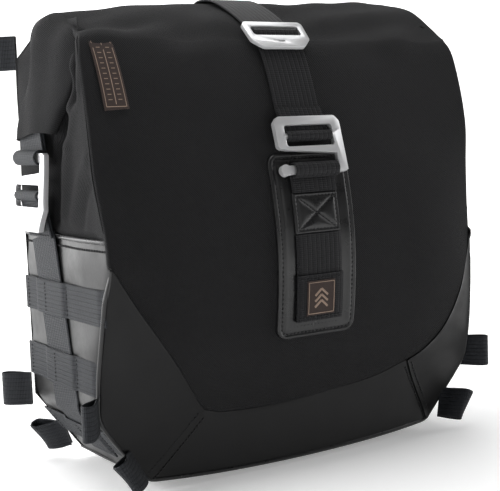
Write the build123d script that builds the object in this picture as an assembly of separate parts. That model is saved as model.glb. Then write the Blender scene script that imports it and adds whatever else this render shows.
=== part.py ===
from build123d import *
from math import atan2, cos, degrees, radians, tan
import os

# Roll-top motorcycle side bag. Millimetres, +Z up, the origin at the middle of the base.
# +X is the bag's right as one faces its front, and -Y is the front.

# ---------------------------------------------------------------- driving sizes
HALF_WIDTH = 166.0
BACK_Y = 60.0
TOP_Z = 317.0
CHAMFER_Z = 50.0
CHAMFER_X = 128.0
SKIN = 2.5
SIDE_LEATHER_TOP = 172.0

# Side view of the front face, from the base to the crest, as (y, z).
FRONT_PROFILE = [
    (-56.0, 0.0), (-63.0, 40.0), (-79.0, 92.0), (-85.0, 150.0), (-80.0, 200.0),
    (-67.0, 250.0), (-54.0, 288.0), (-42.0, 308.0), (-24.0, 320.0),
]

# The lower front corners are cut by one slanted plane on each side.
FACET_EDGE_Y = -54.0
FACET_EDGE_Z = 50.0
FACET_SLOPE_X = 0.25
FACET_SLOPE_Z = 0.25

# Seams on the front face, right half, as (x, z).
CANVAS_CORNER = (98.0, 48.0)
CANVAS_SIDE_Z = 160.0
CANVAS_CORNER_RADIUS = 25.0
LEATHER_SEAM_TOP_X = 94.0
LEATHER_SEAM_FOOT_X = 132.0

WEBBING = 1.4
AIR = 0.3
WIDE_WEBBING = 40.0
NARROW_WEBBING = 25.0

MOLLE_PITCH = 50.0
MOLLE_TOP_Z = 128.5
MOLLE_FRONT_Y = (-66.0, -52.0, -46.0)
MOLLE_BACK_Y = 57.0

SIDE_STRAP_Y = 20.0
SIDE_STRAP_TOP_Z = 172.0
SIDE_STRAP_FOOT_Z = 49.0
SIDE_STRAP_LEAN = 0.22

TAB_REACH = 23.0
TAB_GAP = 6.4
TAB_ROOT_GAP = 4.8

PATCH_WIDTH = 70.0
PATCH_BOTTOM_Z = 96.0
PATCH_TOP_Z = 224.0
PATCH_THICKNESS = 2.2
BOX_PATCH_TOP_Z = 196.0

HOOK_PLATE = 4.0
HOOK_STAND_OFF = 8.2
BAR_RADIUS = 2.2
CATCH_CLEAR = 4.2
LOOP_WIDTH = 39.0

FRONT_STRAP_FOOT_Z = 257.0
FRONT_WINDOW_Z = 237.0
CATCH_BAR_Z = 213.0
FRONT_HOOK_LEAN = 16.5
SLIDER_Z = 309.0
SLIDER_PLATE = 3.2

ROLL_SECTION = [
    (-19.5, 321.5), (-19.0, 325.5), (18.0, 338.0), (36.0, 339.5),
    (46.0, 334.0), (49.0, 327.0), (47.0, 321.5),
]
ROLL_HALF_LENGTH = 165.5

TAIL_INNER_X = 167.5
TAIL_OUTER_X = 178.0
TAIL_FOOT_Z = 250.0
TAIL_SECTION = [
    (-22.0, 324.0), (12.0, 324.0), (30.0, 298.0), (46.0, 262.0),
    (47.0, TAIL_FOOT_Z), (-6.0, TAIL_FOOT_Z), (-14.0, 285.0),
]

SIDE_HOOK_X = HALF_WIDTH + 8.0
SIDE_HOOK_FOOT_Z = 176.0
SIDE_HOOK_BAR_Z = 202.0
SIDE_CATCH_BAR_Z = 229.0
SIDE_HOOK_BOW = 2.0

BOLT_SPACING_X = 100.0
BOLT_SPACING_Z = 70.0
BOLT_RADIUS = 3.25
PLATE_CENTRE_Z = 150.0
PLATE_WIDTH = 190.0
PLATE_HEIGHT = 150.0
PLATE_THICKNESS = 4.0
RIVET_RADIUS = 2.4

REACH = 400.0
FRONT_CURVE = Spline(*FRONT_PROFILE)


# ---------------------------------------------------------------- the bag's volume
def front_parameter(z):
    """Where the front curve has the height z, found by halving."""
    low, high = 0.0, 1.0
    for _ in range(40):
        middle = (low + high) / 2
        if (FRONT_CURVE @ middle).Y < z:
            low = middle
        else:
            high = middle
    return (low + high) / 2


def front_point(z, out):
    """The point `out` mm in front of the front curve at the height z, as (y, z)."""
    t = front_parameter(z)
    place = FRONT_CURVE @ t
    along = FRONT_CURVE % t
    return (place.X - along.Y * out, place.Y + along.X * out)


def across(face, half_width):
    """A side-view face made solid to `half_width` on each side of the middle."""
    return extrude(Plane.YZ * face, amount=half_width, both=True)


def through(face, reach=REACH):
    """A front-view face made solid right through the bag."""
    return extrude(Plane.XZ * face, amount=reach, both=True)


def outline_face(inset):
    """Front view of the bag, left open towards the top."""
    points = [
        (-HALF_WIDTH, REACH), (-HALF_WIDTH, CHAMFER_Z), (-CHAMFER_X, 0.0),
        (CHAMFER_X, 0.0), (HALF_WIDTH, CHAMFER_Z), (HALF_WIDTH, REACH),
    ]
    face = make_face(Polyline(*points, close=True))
    if inset == 0:
        return face
    return offset(face, -inset, kind=Kind.INTERSECTION)


def profile_face(front, back):
    """Side view of the bag between the front curve and the back, each moved in."""
    curve = Spline(*[(y + front, z) for y, z in FRONT_PROFILE])
    rear = BACK_Y - back
    rest = Polyline(curve @ 1, (rear, (curve @ 1).Y), (rear, 0.0), curve @ 0)
    return make_face(curve + rest)


def facet_cutter(front):
    """The wedge that takes off the lower left front corner."""
    middle = Vector(-HALF_WIDTH, FACET_EDGE_Y + front, FACET_EDGE_Z)
    outward = Vector(-FACET_SLOPE_X, -1.0, -FACET_SLOPE_Z)
    return extrude(Plane(origin=middle, z_dir=outward) * Rectangle(REACH, REACH), amount=60.0)


def bag_volume(front, side, back):
    """The bag's solid volume with its front, its outline and its back moved in."""
    solid = across(profile_face(front, back), REACH) & through(outline_face(side))
    cutter = facet_cutter(front)
    return solid - cutter - mirror(cutter, about=Plane.YZ)


def slab(x_range, y_range, z_range):
    """A box between its lowest and highest corners."""
    size = [high - low for low, high in (x_range, y_range, z_range)]
    middle = [(high + low) / 2 for low, high in (x_range, y_range, z_range)]
    return Pos(*middle) * Box(*size)


def below(z):
    return slab((-REACH, REACH), (-REACH, REACH), (-REACH, z))


def front_strip(inner, outer, z_low, z_high, half_width):
    """A layer that follows the front curve, `inner` to `outer` mm in front of it."""
    steps = 8
    heights = [z_low + (z_high - z_low) * i / steps for i in range(steps + 1)]
    near = Spline(*[front_point(z, inner) for z in heights])
    far = Spline(*[front_point(z, outer) for z in heights])
    ends = [Line(near @ 0, far @ 0), Line(near @ 1, far @ 1)]
    return across(make_face(near + far + ends), half_width)


# ---------------------------------------------------------------- front, gussets, base, back
def canvas_area():
    """Front view of the canvas, above its curved lower seam."""
    x, z = CANVAS_CORNER
    points = [(-HALF_WIDTH, CANVAS_SIDE_Z), (-x, z), (x, z), (HALF_WIDTH, CANVAS_SIDE_Z)]
    seam = FilletPolyline(*points, radius=CANVAS_CORNER_RADIUS)
    rest = Polyline(points[-1], (REACH, CANVAS_SIDE_Z), (REACH, REACH), (-REACH, REACH),
                    (-REACH, CANVAS_SIDE_Z), points[0])
    return through(make_face(seam + rest))


def base_leather_area():
    """Front view of the lower leather between the two slanted double seams."""
    top = CANVAS_CORNER[1] + 20.0
    points = [(-LEATHER_SEAM_TOP_X + 16.0, top), (-LEATHER_SEAM_FOOT_X, 0.0),
              (LEATHER_SEAM_FOOT_X, 0.0), (LEATHER_SEAM_TOP_X - 16.0, top)]
    return through(make_face(Polyline(*points, close=True)))


def front_panels():
    layer = bag_volume(0, 0, 0) - bag_volume(SKIN, 0, 0)
    canvas = layer & canvas_area()
    lower = layer - canvas_area()
    left_half = slab((-REACH, 0), (-REACH, REACH), (-REACH, REACH))
    corners = lower - base_leather_area()
    return {
        "front_canvas_panel": canvas,
        "front_bottom_leather": lower & base_leather_area(),
        "front_left_leather": corners & left_half,
        "front_right_leather": corners - left_half,
    }


def gusset_panels():
    ring = (bag_volume(SKIN, 0, SKIN) - bag_volume(SKIN, SKIN, SKIN)) & below(TOP_Z)
    base = slab((-CHAMFER_X, CHAMFER_X), (-REACH, REACH), (-REACH, SKIN))
    left = slab((-REACH, 0), (-REACH, REACH), (-REACH, REACH))
    leather = (ring - base) & below(SIDE_LEATHER_TOP)
    canvas = ring - below(SIDE_LEATHER_TOP)
    return {
        "bottom_panel": ring & base,
        "left_gusset_leather": leather & left,
        "right_gusset_leather": leather - left,
        "left_gusset_canvas": canvas & left,
        "right_gusset_canvas": canvas - left,
    }


def bolt_places():
    """Centres of the carrier bolts on the back, as (x, z)."""
    half_x, half_z = BOLT_SPACING_X / 2, BOLT_SPACING_Z / 2
    return [(x, PLATE_CENTRE_Z + z) for x in (-half_x, half_x) for z in (-half_z, half_z)]


def rivet_places():
    """Centres of the rivets near the plate's edge, as (x, z)."""
    half_x, half_z = PLATE_WIDTH / 2 - 12.0, PLATE_HEIGHT / 2 - 12.0
    return [(x, PLATE_CENTRE_Z + z) for x in (-half_x, 0.0, half_x) for z in (-half_z, half_z)]


def back_pin(x, z, radius, y_from, y_to):
    """A round pin along Y."""
    middle = Pos(x, (y_from + y_to) / 2, z)
    return middle * Rot(90, 0, 0) * Cylinder(radius, y_to - y_from)


def drilled(solid):
    """The solid with the bolt holes and rivet holes through it."""
    for x, z in bolt_places():
        solid -= back_pin(x, z, BOLT_RADIUS, BACK_Y - 10.0, BACK_Y + 10.0)
    for x, z in rivet_places():
        solid -= back_pin(x, z, RIVET_RADIUS + 0.1, BACK_Y - 10.0, BACK_Y + 10.0)
    return solid


def back_parts():
    panel = (bag_volume(SKIN, 0, 0) - bag_volume(SKIN, 0, SKIN)) & below(TOP_Z)
    board_y = (BACK_Y - SKIN - AIR - 2.4, BACK_Y - SKIN - AIR)
    board = slab((-150, 150), board_y, (20, 300)) & bag_volume(SKIN, 8, SKIN)
    plate_y = (BACK_Y + 0.2, BACK_Y + 0.2 + PLATE_THICKNESS)
    plate = slab((-PLATE_WIDTH / 2, PLATE_WIDTH / 2), plate_y,
                 (PLATE_CENTRE_Z - PLATE_HEIGHT / 2, PLATE_CENTRE_Z + PLATE_HEIGHT / 2))
    plate = fillet(plate.edges().filter_by(Axis.Y), 14.0)
    rivets = []
    for x, z in rivet_places():
        shank = back_pin(x, z, RIVET_RADIUS, board_y[0] - 0.1, plate_y[1] + 0.1)
        inner_head = back_pin(x, z, RIVET_RADIUS * 1.8, board_y[0] - 1.1, board_y[0] - 0.1)
        outer_head = back_pin(x, z, RIVET_RADIUS * 1.8, plate_y[1] + 0.1, plate_y[1] + 1.5)
        rivets.append(shank + inner_head + outer_head)
    strap = slab((-WIDE_WEBBING / 2, WIDE_WEBBING / 2),
                 (BACK_Y + 0.2, BACK_Y + 0.2 + WEBBING), (246, 314))
    return {
        "back_panel": drilled(panel),
        "back_stiffener": drilled(board),
        "back_plate": drilled(plate),
        "back_plate_rivets": Compound(children=rivets),
        "strap_rear_anchor": strap,
    }


def inside_parts():
    liner = (bag_volume(4.0, 6.2, 8.0) - bag_volume(5.2, 7.4, 9.2)) & below(308)
    board = slab((-118, 118), (-47, 52), (SKIN + AIR, SKIN + AIR + 2.4))
    return {"inner_liner": liner, "base_stiffener": board}


def lower_front_piping():
    """The bound edge round the lower front, outside both the front and the gusset."""
    bead = 2.0
    outer = bag_volume(-bead, -bead, 0)
    edge = outer - bag_volume(-bead - 1, 1.2, 0)
    edge -= bag_volume(1.2, -bead - 1, 0)
    edge -= bag_volume(0, 0, 0)
    span = slab((-REACH, REACH), (-REACH, 0), (0.0, CANVAS_SIDE_Z))
    return {"lower_front_piping": edge & span}


# ---------------------------------------------------------------- side webbing
def on_side(z):
    """From a part built on a wall at x = 0 and centred at z = 0, to the left side."""
    return Pos(-HALF_WIDTH, 0, z)


def chamfer_length():
    return Vector(HALF_WIDTH - CHAMFER_X, 0, CHAMFER_Z).length


def on_chamfer(up):
    """The same, to the left chamfer, `up` mm along it from the base."""
    run = Vector(HALF_WIDTH - CHAMFER_X, 0, CHAMFER_Z)
    place = Vector(-CHAMFER_X, 0, 0) + Vector(-run.X, 0, run.Z).normalized() * up
    angle = Vector(0, 0, 1).get_angle(run)
    return Pos(*place) * Rot(0, -angle, 0)


def molle_row(front_y, strap_y):
    """A webbing row on a wall at x = 0, stepped out where it passes over the strap."""
    half = WIDE_WEBBING / 2 + 4.5
    low, high = 0.2, 2 * 0.2 + WEBBING + 0.2
    inner = [
        (-low, MOLLE_BACK_Y), (-low, strap_y + half + 3), (-high, strap_y + half),
        (-high, strap_y - half), (-low, strap_y - half - 3), (-low, front_y),
    ]
    outer = [(x - WEBBING, y) for x, y in reversed(inner)]
    face = make_face(Polyline(*inner, *outer, close=True))
    return extrude(Pos(0, 0, -NARROW_WEBBING / 2) * face, amount=NARROW_WEBBING)


def strap_y_at(z):
    """The middle of the leaning side strap at the height z."""
    return SIDE_STRAP_Y - (SIDE_STRAP_TOP_Z - z) * SIDE_STRAP_LEAN


def side_strap():
    """The sewn-down strap: down the side, over the corner and along the chamfer."""
    half = WIDE_WEBBING / 2
    top, foot = strap_y_at(SIDE_STRAP_TOP_Z), strap_y_at(SIDE_STRAP_FOOT_Z)
    points = [(top - half, SIDE_STRAP_TOP_Z), (top + half, SIDE_STRAP_TOP_Z),
              (foot + half, SIDE_STRAP_FOOT_Z), (foot - half, SIDE_STRAP_FOOT_Z)]
    face = make_face(Polyline(*points, close=True))
    outer_x = -HALF_WIDTH - 0.2 - WEBBING
    upper = Pos(outer_x, 0, 0) * extrude(Plane.YZ * face, amount=WEBBING)
    wall = slab((-0.2 - WEBBING, -0.2), (foot - half, foot + half), (-46, 1.0))
    return upper + on_chamfer(chamfer_length()) * wall


def molle_rows():
    rows = []
    for i in range(2):
        z = MOLLE_TOP_Z - i * MOLLE_PITCH
        rows.append(on_side(z) * molle_row(MOLLE_FRONT_Y[i], strap_y_at(z)))
    rows.append(on_chamfer(chamfer_length() - 26.0)
                * molle_row(MOLLE_FRONT_Y[2], strap_y_at(SIDE_STRAP_FOOT_Z)))
    return rows


def lash_tab(root, outward, seam):
    """A folded webbing tab: a flat loop that stands out from `root`, open along `seam`."""
    thickness = TAB_GAP + 2 * WEBBING
    outer = SlotOverall(TAB_REACH, thickness)
    inner = SlotOverall(TAB_REACH - 2 * WEBBING, TAB_GAP)
    loop = extrude(outer - inner, amount=NARROW_WEBBING / 2, both=True)
    middle = Vector(*root) + Vector(*outward).normalized() * (TAB_REACH / 2 + TAB_ROOT_GAP)
    return Plane(origin=middle, x_dir=Vector(*outward), z_dir=Vector(*seam)) * loop


def lash_tabs():
    """The five tabs of the left side: two low pairs on the seams and one high at the back."""
    upper_z, lower_z, top_z = 53.0, 17.0, 299.0
    lower_x = -CHAMFER_X - (HALF_WIDTH - CHAMFER_X) * lower_z / CHAMFER_Z
    slope = (HALF_WIDTH - CHAMFER_X, 0, -CHAMFER_Z)
    front_y = FACET_EDGE_Y
    return {
        "upper_front_lash_tab": lash_tab((-HALF_WIDTH, front_y, upper_z), (-1, -1, 0), (0, 0, 1)),
        "upper_back_lash_tab": lash_tab((-HALF_WIDTH, BACK_Y, upper_z), (-1, 1, 0), (0, 0, 1)),
        "lower_front_lash_tab": lash_tab((lower_x, front_y - 3, lower_z), (-1, -1, 0), slope),
        "lower_back_lash_tab": lash_tab((lower_x, BACK_Y, lower_z), (-1, 1, 0), slope),
        "top_back_lash_tab": lash_tab((-HALF_WIDTH, BACK_Y, top_z), (-1, 1, 0), (0, 0, 1)),
    }


# ---------------------------------------------------------------- hooks and slider
def hook_outline(foot_width, foot, window_z, shoulder, bar_z):
    """Front view of a G-hook with its strap end at the foot and its open bar at bar_z.

    The strap's window is round window_z, the arm is on the left, and the bar runs from the
    arm to a round tip on the right.
    """
    half, window_half = 29.0, 8.0
    body = make_face(Polyline(
        (-foot_width / 2, foot), (foot_width / 2, foot), (half, window_z - window_half - 2.0),
        (half, window_z + window_half + 1.0), (half - 8.0, shoulder - 4.0), (-half, shoulder),
        (-half, window_z - window_half - 2.0), close=True))
    body = fillet(body.vertices(), 3.0)
    window = Pos(0, window_z) * RectangleRounded(WIDE_WEBBING + 2.4, 2 * window_half, 2.4)
    arm = Pos(-half + 3.6, (shoulder + bar_z) / 2 - 2.0) * Rectangle(7.2, bar_z - shoulder + 8.0)
    bar = Pos(-1.5, bar_z) * RectangleRounded(55.0, 6.4, 3.1)
    tip = Pos(26.0, bar_z) * Circle(4.2)
    return body - window + arm + bar + tip


def bent_plate(outline, bend, thickness):
    """A plate with a front-view outline, bent to follow the side-view curve of its face."""
    curve = Spline(*bend)
    other = Spline(*[(y - thickness, z) for y, z in bend])
    ends = [Line(curve @ 0, other @ 0), Line(curve @ 1, other @ 1)]
    return through(outline, 40.0) & across(make_face(curve + other + ends), 60.0)


def window_bar(y, z):
    """The round bar across a hook's window, which the webbing turns round."""
    return Pos(0, y, z) * Rot(0, 90, 0) * Cylinder(BAR_RADIUS, WIDE_WEBBING + 5.0)


def g_hook(foot_width, foot, window_z, shoulder, bar_z, bow):
    """A bent G-hook that faces -Y with the middle of its plate at y = 0."""
    outline = hook_outline(foot_width, foot, window_z, shoulder, bar_z)
    half = HOOK_PLATE / 2
    bend = [(half, foot - 2.0), (half - bow, window_z), (half, bar_z - 3.0), (half, bar_z + 6.0)]
    return bent_plate(outline, bend, HOOK_PLATE) + window_bar(-bow, window_z)


def webbing_turn(bar, inner, foot, half_width):
    """Webbing turned round a bar at (y, z) and laid back double to foot = (y, z)."""
    y, z = bar
    outer = inner + WEBBING
    clear = Pos(0, y, z) * Rot(0, 90, 0) * Cylinder(inner, 2 * half_width)
    ring = Pos(0, y, z) * Rot(0, 90, 0) * Cylinder(outer, 2 * half_width)
    side = y + outer * 0.95
    start_z = z + (outer if foot[1] > z else -outer) * 0.3
    leg = make_face(Polyline(
        (side, start_z), (foot[0] + WEBBING, foot[1]), (foot[0] - WEBBING, foot[1]),
        (side - WEBBING, start_z), close=True))
    return ring + across(leg, half_width) - clear


def to_left_side(part):
    """From a part that faces -Y at y = 0 to one on the left side, facing left."""
    return Pos(-SIDE_HOOK_X, SIDE_STRAP_Y, 0) * Rot(0, 0, -90) * part


def left_hook_parts():
    hook = g_hook(28.0, SIDE_HOOK_FOOT_Z, SIDE_HOOK_BAR_Z, SIDE_HOOK_BAR_Z + 17.0,
                  SIDE_CATCH_BAR_Z, SIDE_HOOK_BOW)
    strap_end = (SIDE_HOOK_X - HALF_WIDTH - 2.6, SIDE_STRAP_TOP_Z + 0.4)
    turn = webbing_turn((-SIDE_HOOK_BOW, SIDE_HOOK_BAR_Z), BAR_RADIUS + AIR, strap_end,
                        WIDE_WEBBING / 2)
    loop = webbing_turn((0.0, SIDE_CATCH_BAR_Z), CATCH_CLEAR, (1.2, TAIL_FOOT_Z - AIR),
                        LOOP_WIDTH / 2)
    return {
        "left_hook": to_left_side(mirror(hook, about=Plane.YZ)),
        "left_hook_webbing": to_left_side(turn),
        "left_tail_loop": to_left_side(loop),
    }


def front_hook_parts():
    """The front hook hangs from its strap, so it is a shorter hook turned over."""
    bar_to_bar = (FRONT_WINDOW_Z - CATCH_BAR_Z) / cos(radians(FRONT_HOOK_LEAN))
    hook = g_hook(50.0, -14.5, 0.0, 14.5, bar_to_bar, 0.4)
    middle_y = front_point(FRONT_WINDOW_Z, HOOK_STAND_OFF)[0]
    catch_y = middle_y - (FRONT_WINDOW_Z - CATCH_BAR_Z) * tan(radians(FRONT_HOOK_LEAN))
    placed = Pos(0, middle_y, FRONT_WINDOW_Z) * Rot(-FRONT_HOOK_LEAN, 0, 0) * Rot(0, 180, 0) * hook
    strap_end = front_point(FRONT_STRAP_FOOT_Z - 0.4, 0.6 + WEBBING)
    turn = webbing_turn((middle_y - 0.4, FRONT_WINDOW_Z), BAR_RADIUS + AIR, strap_end,
                        WIDE_WEBBING / 2)
    loop_end = front_point(BOX_PATCH_TOP_Z + 0.4, PATCH_THICKNESS + 0.7 + WEBBING)
    loop = webbing_turn((catch_y, CATCH_BAR_Z), CATCH_CLEAR, loop_end, LOOP_WIDTH / 2)
    return {"front_hook": placed, "front_hook_webbing": turn, "front_catch_loop": loop}


def slider_parts():
    """The strap's adjuster at the crest, and the webbing fold in its window."""
    outline = make_face(Polyline((-27, 13), (27, 13), (26, -6), (18, -13.5), (-18, -13.5),
                                 (-26, -6), close=True))
    outline = fillet(outline.vertices(), 4.0)
    outline -= Pos(0, 3.5) * RectangleRounded(WIDE_WEBBING + 2.6, 9.6, 2.4)
    outline -= Pos(0, -7.6) * SlotOverall(6.0, 1.7)
    fold = Pos(0, 3.5) * Rectangle(WIDE_WEBBING, 7.6)
    along = FRONT_CURVE % front_parameter(SLIDER_Z)
    lean = degrees(atan2(along.X, along.Y))
    place = front_point(SLIDER_Z, 0.6 + WEBBING + 0.4 + SLIDER_PLATE / 2)
    placed = Pos(0, *place) * Rot(-lean, 0, 0)
    return {
        "front_slider": placed * through(outline, SLIDER_PLATE / 2),
        "slider_webbing": placed * through(fold, SLIDER_PLATE / 2 - 0.2),
    }


# ---------------------------------------------------------------- straps, patch and labels
def front_strap():
    foot = FRONT_STRAP_FOOT_Z
    crest = FRONT_PROFILE[-1][1]
    return {"front_strap": front_strip(0.6, 0.6 + WEBBING, foot, crest, WIDE_WEBBING / 2)}


def patch_parts():
    middle_z = (PATCH_TOP_Z + PATCH_BOTTOM_Z) / 2
    rim = through(Pos(0, middle_z) * RectangleRounded(PATCH_WIDTH, PATCH_TOP_Z - PATCH_BOTTOM_Z, 9.0))
    patch = front_strip(0.2, 0.2 + PATCH_THICKNESS, PATCH_BOTTOM_Z, PATCH_TOP_Z, PATCH_WIDTH / 2)
    top = PATCH_THICKNESS + 0.4
    label_x = -HALF_WIDTH + 20.0
    return {
        "leather_patch": patch & rim,
        "patch_webbing": front_strip(top, top + WEBBING, 103, BOX_PATCH_TOP_Z - 29.5,
                                     WIDE_WEBBING / 2 + 0.5),
        "box_stitch_patch": front_strip(top, top + 3.0, BOX_PATCH_TOP_Z - 29, BOX_PATCH_TOP_Z,
                                        WIDE_WEBBING / 2),
        "emblem_label": front_strip(top + WEBBING + 0.2, top + WEBBING + 1.0, 109, 133, 12.5),
        "woven_label": Pos(label_x, 0, 0) * front_strip(0.2, 1.0, 259, 305, 9.0),
    }


def band(points, gap, half_width):
    """Webbing laid on a side-view line of points, which runs with its outside on the left."""
    line = [Vector(*point) for point in points]
    steps = [(b - a).normalized() for a, b in zip(line, line[1:])]
    turns = [(a + b).normalized() for a, b in zip([steps[0]] + steps, steps + [steps[-1]])]
    near = [p + Vector(-t.Y, t.X) * gap for p, t in zip(line, turns)]
    far = [p + Vector(-t.Y, t.X) * (gap + WEBBING) for p, t in zip(line, turns)]
    face = make_face(Polyline(*near, *reversed(far), close=True))
    return across(face, half_width)


def roll_parts():
    """The rolled-up mouth: canvas turns round a stiff strip, with the strap over them."""
    section = make_face(Polyline(*ROLL_SECTION, close=True))
    section = fillet(section.vertices(), 2.0)
    core_place = Pos(0, 14.0, 328.0) * Rot(8, 0, 0)
    pocket = core_place * Box(306.0, 38.0, 3.4)
    return {
        "roll_top_canvas": across(section, ROLL_HALF_LENGTH) - pocket,
        "roll_stiffener": core_place * Box(304.0, 36.0, 2.4),
        "strap_over_roll": band(ROLL_SECTION[1:5], 0.4, WIDE_WEBBING / 2),
    }


def left_tail():
    """The end of the roll, bent down over the side."""
    section = make_face(Polyline(*TAIL_SECTION, close=True))
    section = fillet(section.vertices(), 3.0)
    return Pos(-TAIL_OUTER_X, 0, 0) * extrude(Plane.YZ * section, amount=TAIL_OUTER_X - TAIL_INNER_X)


# ---------------------------------------------------------------- all the parts
def left_side_parts():
    rows = {f"left_molle_row_{i + 1}": row for i, row in enumerate(molle_rows())}
    tabs = {f"left_{name}": tab for name, tab in lash_tabs().items()}
    return {"left_side_strap": side_strap(), "left_tail": left_tail(),
            **rows, **tabs, **left_hook_parts()}


def mirrored(parts):
    """The right side's copies of the left side's parts."""
    return {name.replace("left", "right", 1): mirror(part, about=Plane.YZ)
            for name, part in parts.items()}


def all_parts():
    left = left_side_parts()
    return {
        **front_panels(), **gusset_panels(), **back_parts(), **inside_parts(),
        **lower_front_piping(), **patch_parts(), **front_strap(), **front_hook_parts(),
        **slider_parts(), **roll_parts(), **left, **mirrored(left),
    }


def main():
    os.makedirs("parts", exist_ok=True)
    for name, part in all_parts().items():
        export_step(part, f"parts/{name}.step")


if __name__ == "__main__":
    main()
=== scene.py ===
"""The looks of a roll-top motorcycle side bag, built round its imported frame."""
from math import cos, radians, sin, tau

import bpy
import numpy as np
from mathutils import Matrix, Vector


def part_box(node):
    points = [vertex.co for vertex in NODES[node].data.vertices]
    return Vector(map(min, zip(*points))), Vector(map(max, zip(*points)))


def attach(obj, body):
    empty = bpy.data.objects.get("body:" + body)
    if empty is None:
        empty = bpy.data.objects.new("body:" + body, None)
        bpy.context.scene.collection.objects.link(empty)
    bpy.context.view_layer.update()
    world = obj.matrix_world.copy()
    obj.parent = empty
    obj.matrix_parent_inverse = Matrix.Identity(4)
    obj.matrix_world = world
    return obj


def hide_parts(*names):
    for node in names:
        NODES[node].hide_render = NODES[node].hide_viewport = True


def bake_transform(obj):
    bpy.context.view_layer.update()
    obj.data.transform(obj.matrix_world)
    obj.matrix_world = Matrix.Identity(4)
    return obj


bl_info = {
    "name": "Roll-top side bag",
    "version": (1, 0, 0),
    "blender": (4, 5, 0),
    "location": "View3D > Sidebar > Side bag",
    "description": "Builds the canvas, leather, webbing and hardware of a roll-top side bag",
    "category": "Object",
}

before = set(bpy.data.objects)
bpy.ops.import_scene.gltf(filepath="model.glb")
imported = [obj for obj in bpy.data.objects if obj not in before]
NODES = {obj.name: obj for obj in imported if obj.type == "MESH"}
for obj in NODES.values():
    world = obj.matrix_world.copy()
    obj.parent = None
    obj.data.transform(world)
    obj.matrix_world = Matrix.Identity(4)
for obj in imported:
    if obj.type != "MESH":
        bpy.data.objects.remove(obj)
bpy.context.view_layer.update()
MM = 0.001

# Lengths below are in millimetres, in the bag's frame: +X right, -Y front, +Z up.
FRONT_LINE = [
    (-56, 0), (-63, 40), (-79, 92), (-85, 150), (-80, 200), (-67, 250), (-54, 288), (-42, 308),
]
ROLL_LINE = [(-24, 320.5), (-2, 331), (18, 338.5), (36, 340), (46, 335), (50, 327), (47, 320.5)]
BACK_Y = 60.0
LEATHER_TOP = 172.0

# How far the front's outer edges lie behind its middle, as (height, amount).
LEFT_RECESS = [(0, 3), (37, 8), (65, 14), (88, 16), (129, 9), (154, 1), (177, 2), (195, 5.5),
               (216, 8), (248, 3.5), (272, 0), (294, -2), (309, -4)]
RIGHT_RECESS = [(0, 2), (38, 3), (64, 6), (97, 11), (141, 14), (173, 13), (191, 11), (212, 8),
                (236, 4), (253, 2), (272, 0), (298, -2), (309, -4)]
# Half of the front's width, as (height, amount).
LEFT_WIDTH = [(0, 127), (20, 143), (37, 156), (50, 163.5), (68, 164.5), (154, 165.5), (250, 165.5),
              (290, 164.5), (310, 161)]
RIGHT_WIDTH = [(0, 127), (20, 143), (37, 156), (50, 163.5), (68, 164.5), (140, 164), (190, 162.5),
               (236, 166), (272, 166.5), (298, 166), (310, 163)]

# Seams on the front, as (x, z).
CANVAS_LEFT = [(-88, 46), (-97, 57), (-118, 88), (-145, 127), (-165, 156)]
CANVAS_FOOT = [(-88, 46), (-70, 41.5), (-35, 40), (0, 41), (31, 43), (67, 47), (98, 56)]
CANVAS_RIGHT = [(98, 56), (116, 66), (134, 84), (150, 112), (164, 156)]
CANVAS_SIDE_Z = 156.0

# How far in from its outer edges the front begins to lie back, and how steeply.
RECESS_REACH = 68.0
RECESS_CURVE = 2.1
FRONT_TOP = 308.0
ROLL_HALF_WIDTH = 162.0

STRAP_Y = 20.0
STRAP_LEAN = 0.22
STRAP_WIDTH = 40.0
ROW_WIDTH = 25.0
ROW_HEIGHTS = (128.5, 78.5)
SIDES = {"left": -1, "right": 1}
# The lower corners are cut off on a slope: where it starts at the base, and its run and rise.
CHAMFER_X = 128.0
CHAMFER_RUN, CHAMFER_RISE = 38.0, 50.0

CANVAS_THICK = 1.2
LEATHER_THICK = 1.4
RIPPLE_WAVES = 7
SHARP_ANGLE = 50


# ---------------------------------------------------------------- lines
def dense(points, per_run=24):
    """A smooth line through every given point."""
    given = np.asarray(points, float)
    ends = np.vstack([2 * given[0] - given[1], given, 2 * given[-1] - given[-2]])
    t = np.linspace(0, 1, per_run, endpoint=False)[:, None]
    runs = []
    for i in range(1, len(ends) - 2):
        a, b, c, d = ends[i - 1:i + 3]
        curve = 2 * b + (c - a) * t + (2 * a - 5 * b + 4 * c - d) * t ** 2
        runs.append(0.5 * (curve + (3 * b - a - 3 * c + d) * t ** 3))
    return np.vstack(runs + [given[-1:]])


def run_length(line):
    """How far each point of a line is from its start, along it."""
    steps = np.linalg.norm(np.diff(line, axis=0), axis=1)
    return np.concatenate([[0.0], np.cumsum(steps)])


def spaced(line, count):
    """`count` points at even steps along a line."""
    line = np.asarray(line, float)
    run = run_length(line)
    at = np.linspace(0, run[-1], count)
    return np.stack([np.interp(at, run, line[:, k]) for k in range(line.shape[1])], axis=1)


def smooth(points, count):
    """`count` points at even steps along a smooth line through the given ones."""
    return spaced(dense(points), count)


def table(points):
    """A smooth look-up from height to amount."""
    line = dense(points)
    order = np.argsort(line[:, 0])
    return lambda height: np.interp(height, line[order, 0], line[order, 1])


def unit(vectors):
    return vectors / np.maximum(np.linalg.norm(vectors, axis=-1, keepdims=True), 1e-9)


def ease(value, low, high):
    """0 up to low, 1 from high on, and smooth in between."""
    t = np.clip((np.asarray(value, float) - low) / (high - low), 0, 1)
    return t * t * (3 - 2 * t)


def hump(value, centre, width):
    """1 at the centre, fading to 0 on both sides."""
    return np.exp(-(((np.asarray(value, float) - centre) / width) ** 2))


def ridge(points, line, width):
    """1 on a line in a flat plane, fading to 0 over `width` on each side."""
    path = smooth(line, 60)
    flat = points.reshape(-1, 1, 2)
    near = np.sqrt(((flat - path[None]) ** 2).sum(-1)).min(1)
    return np.exp(-((near / width) ** 2)).reshape(points.shape[:-1])


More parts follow.
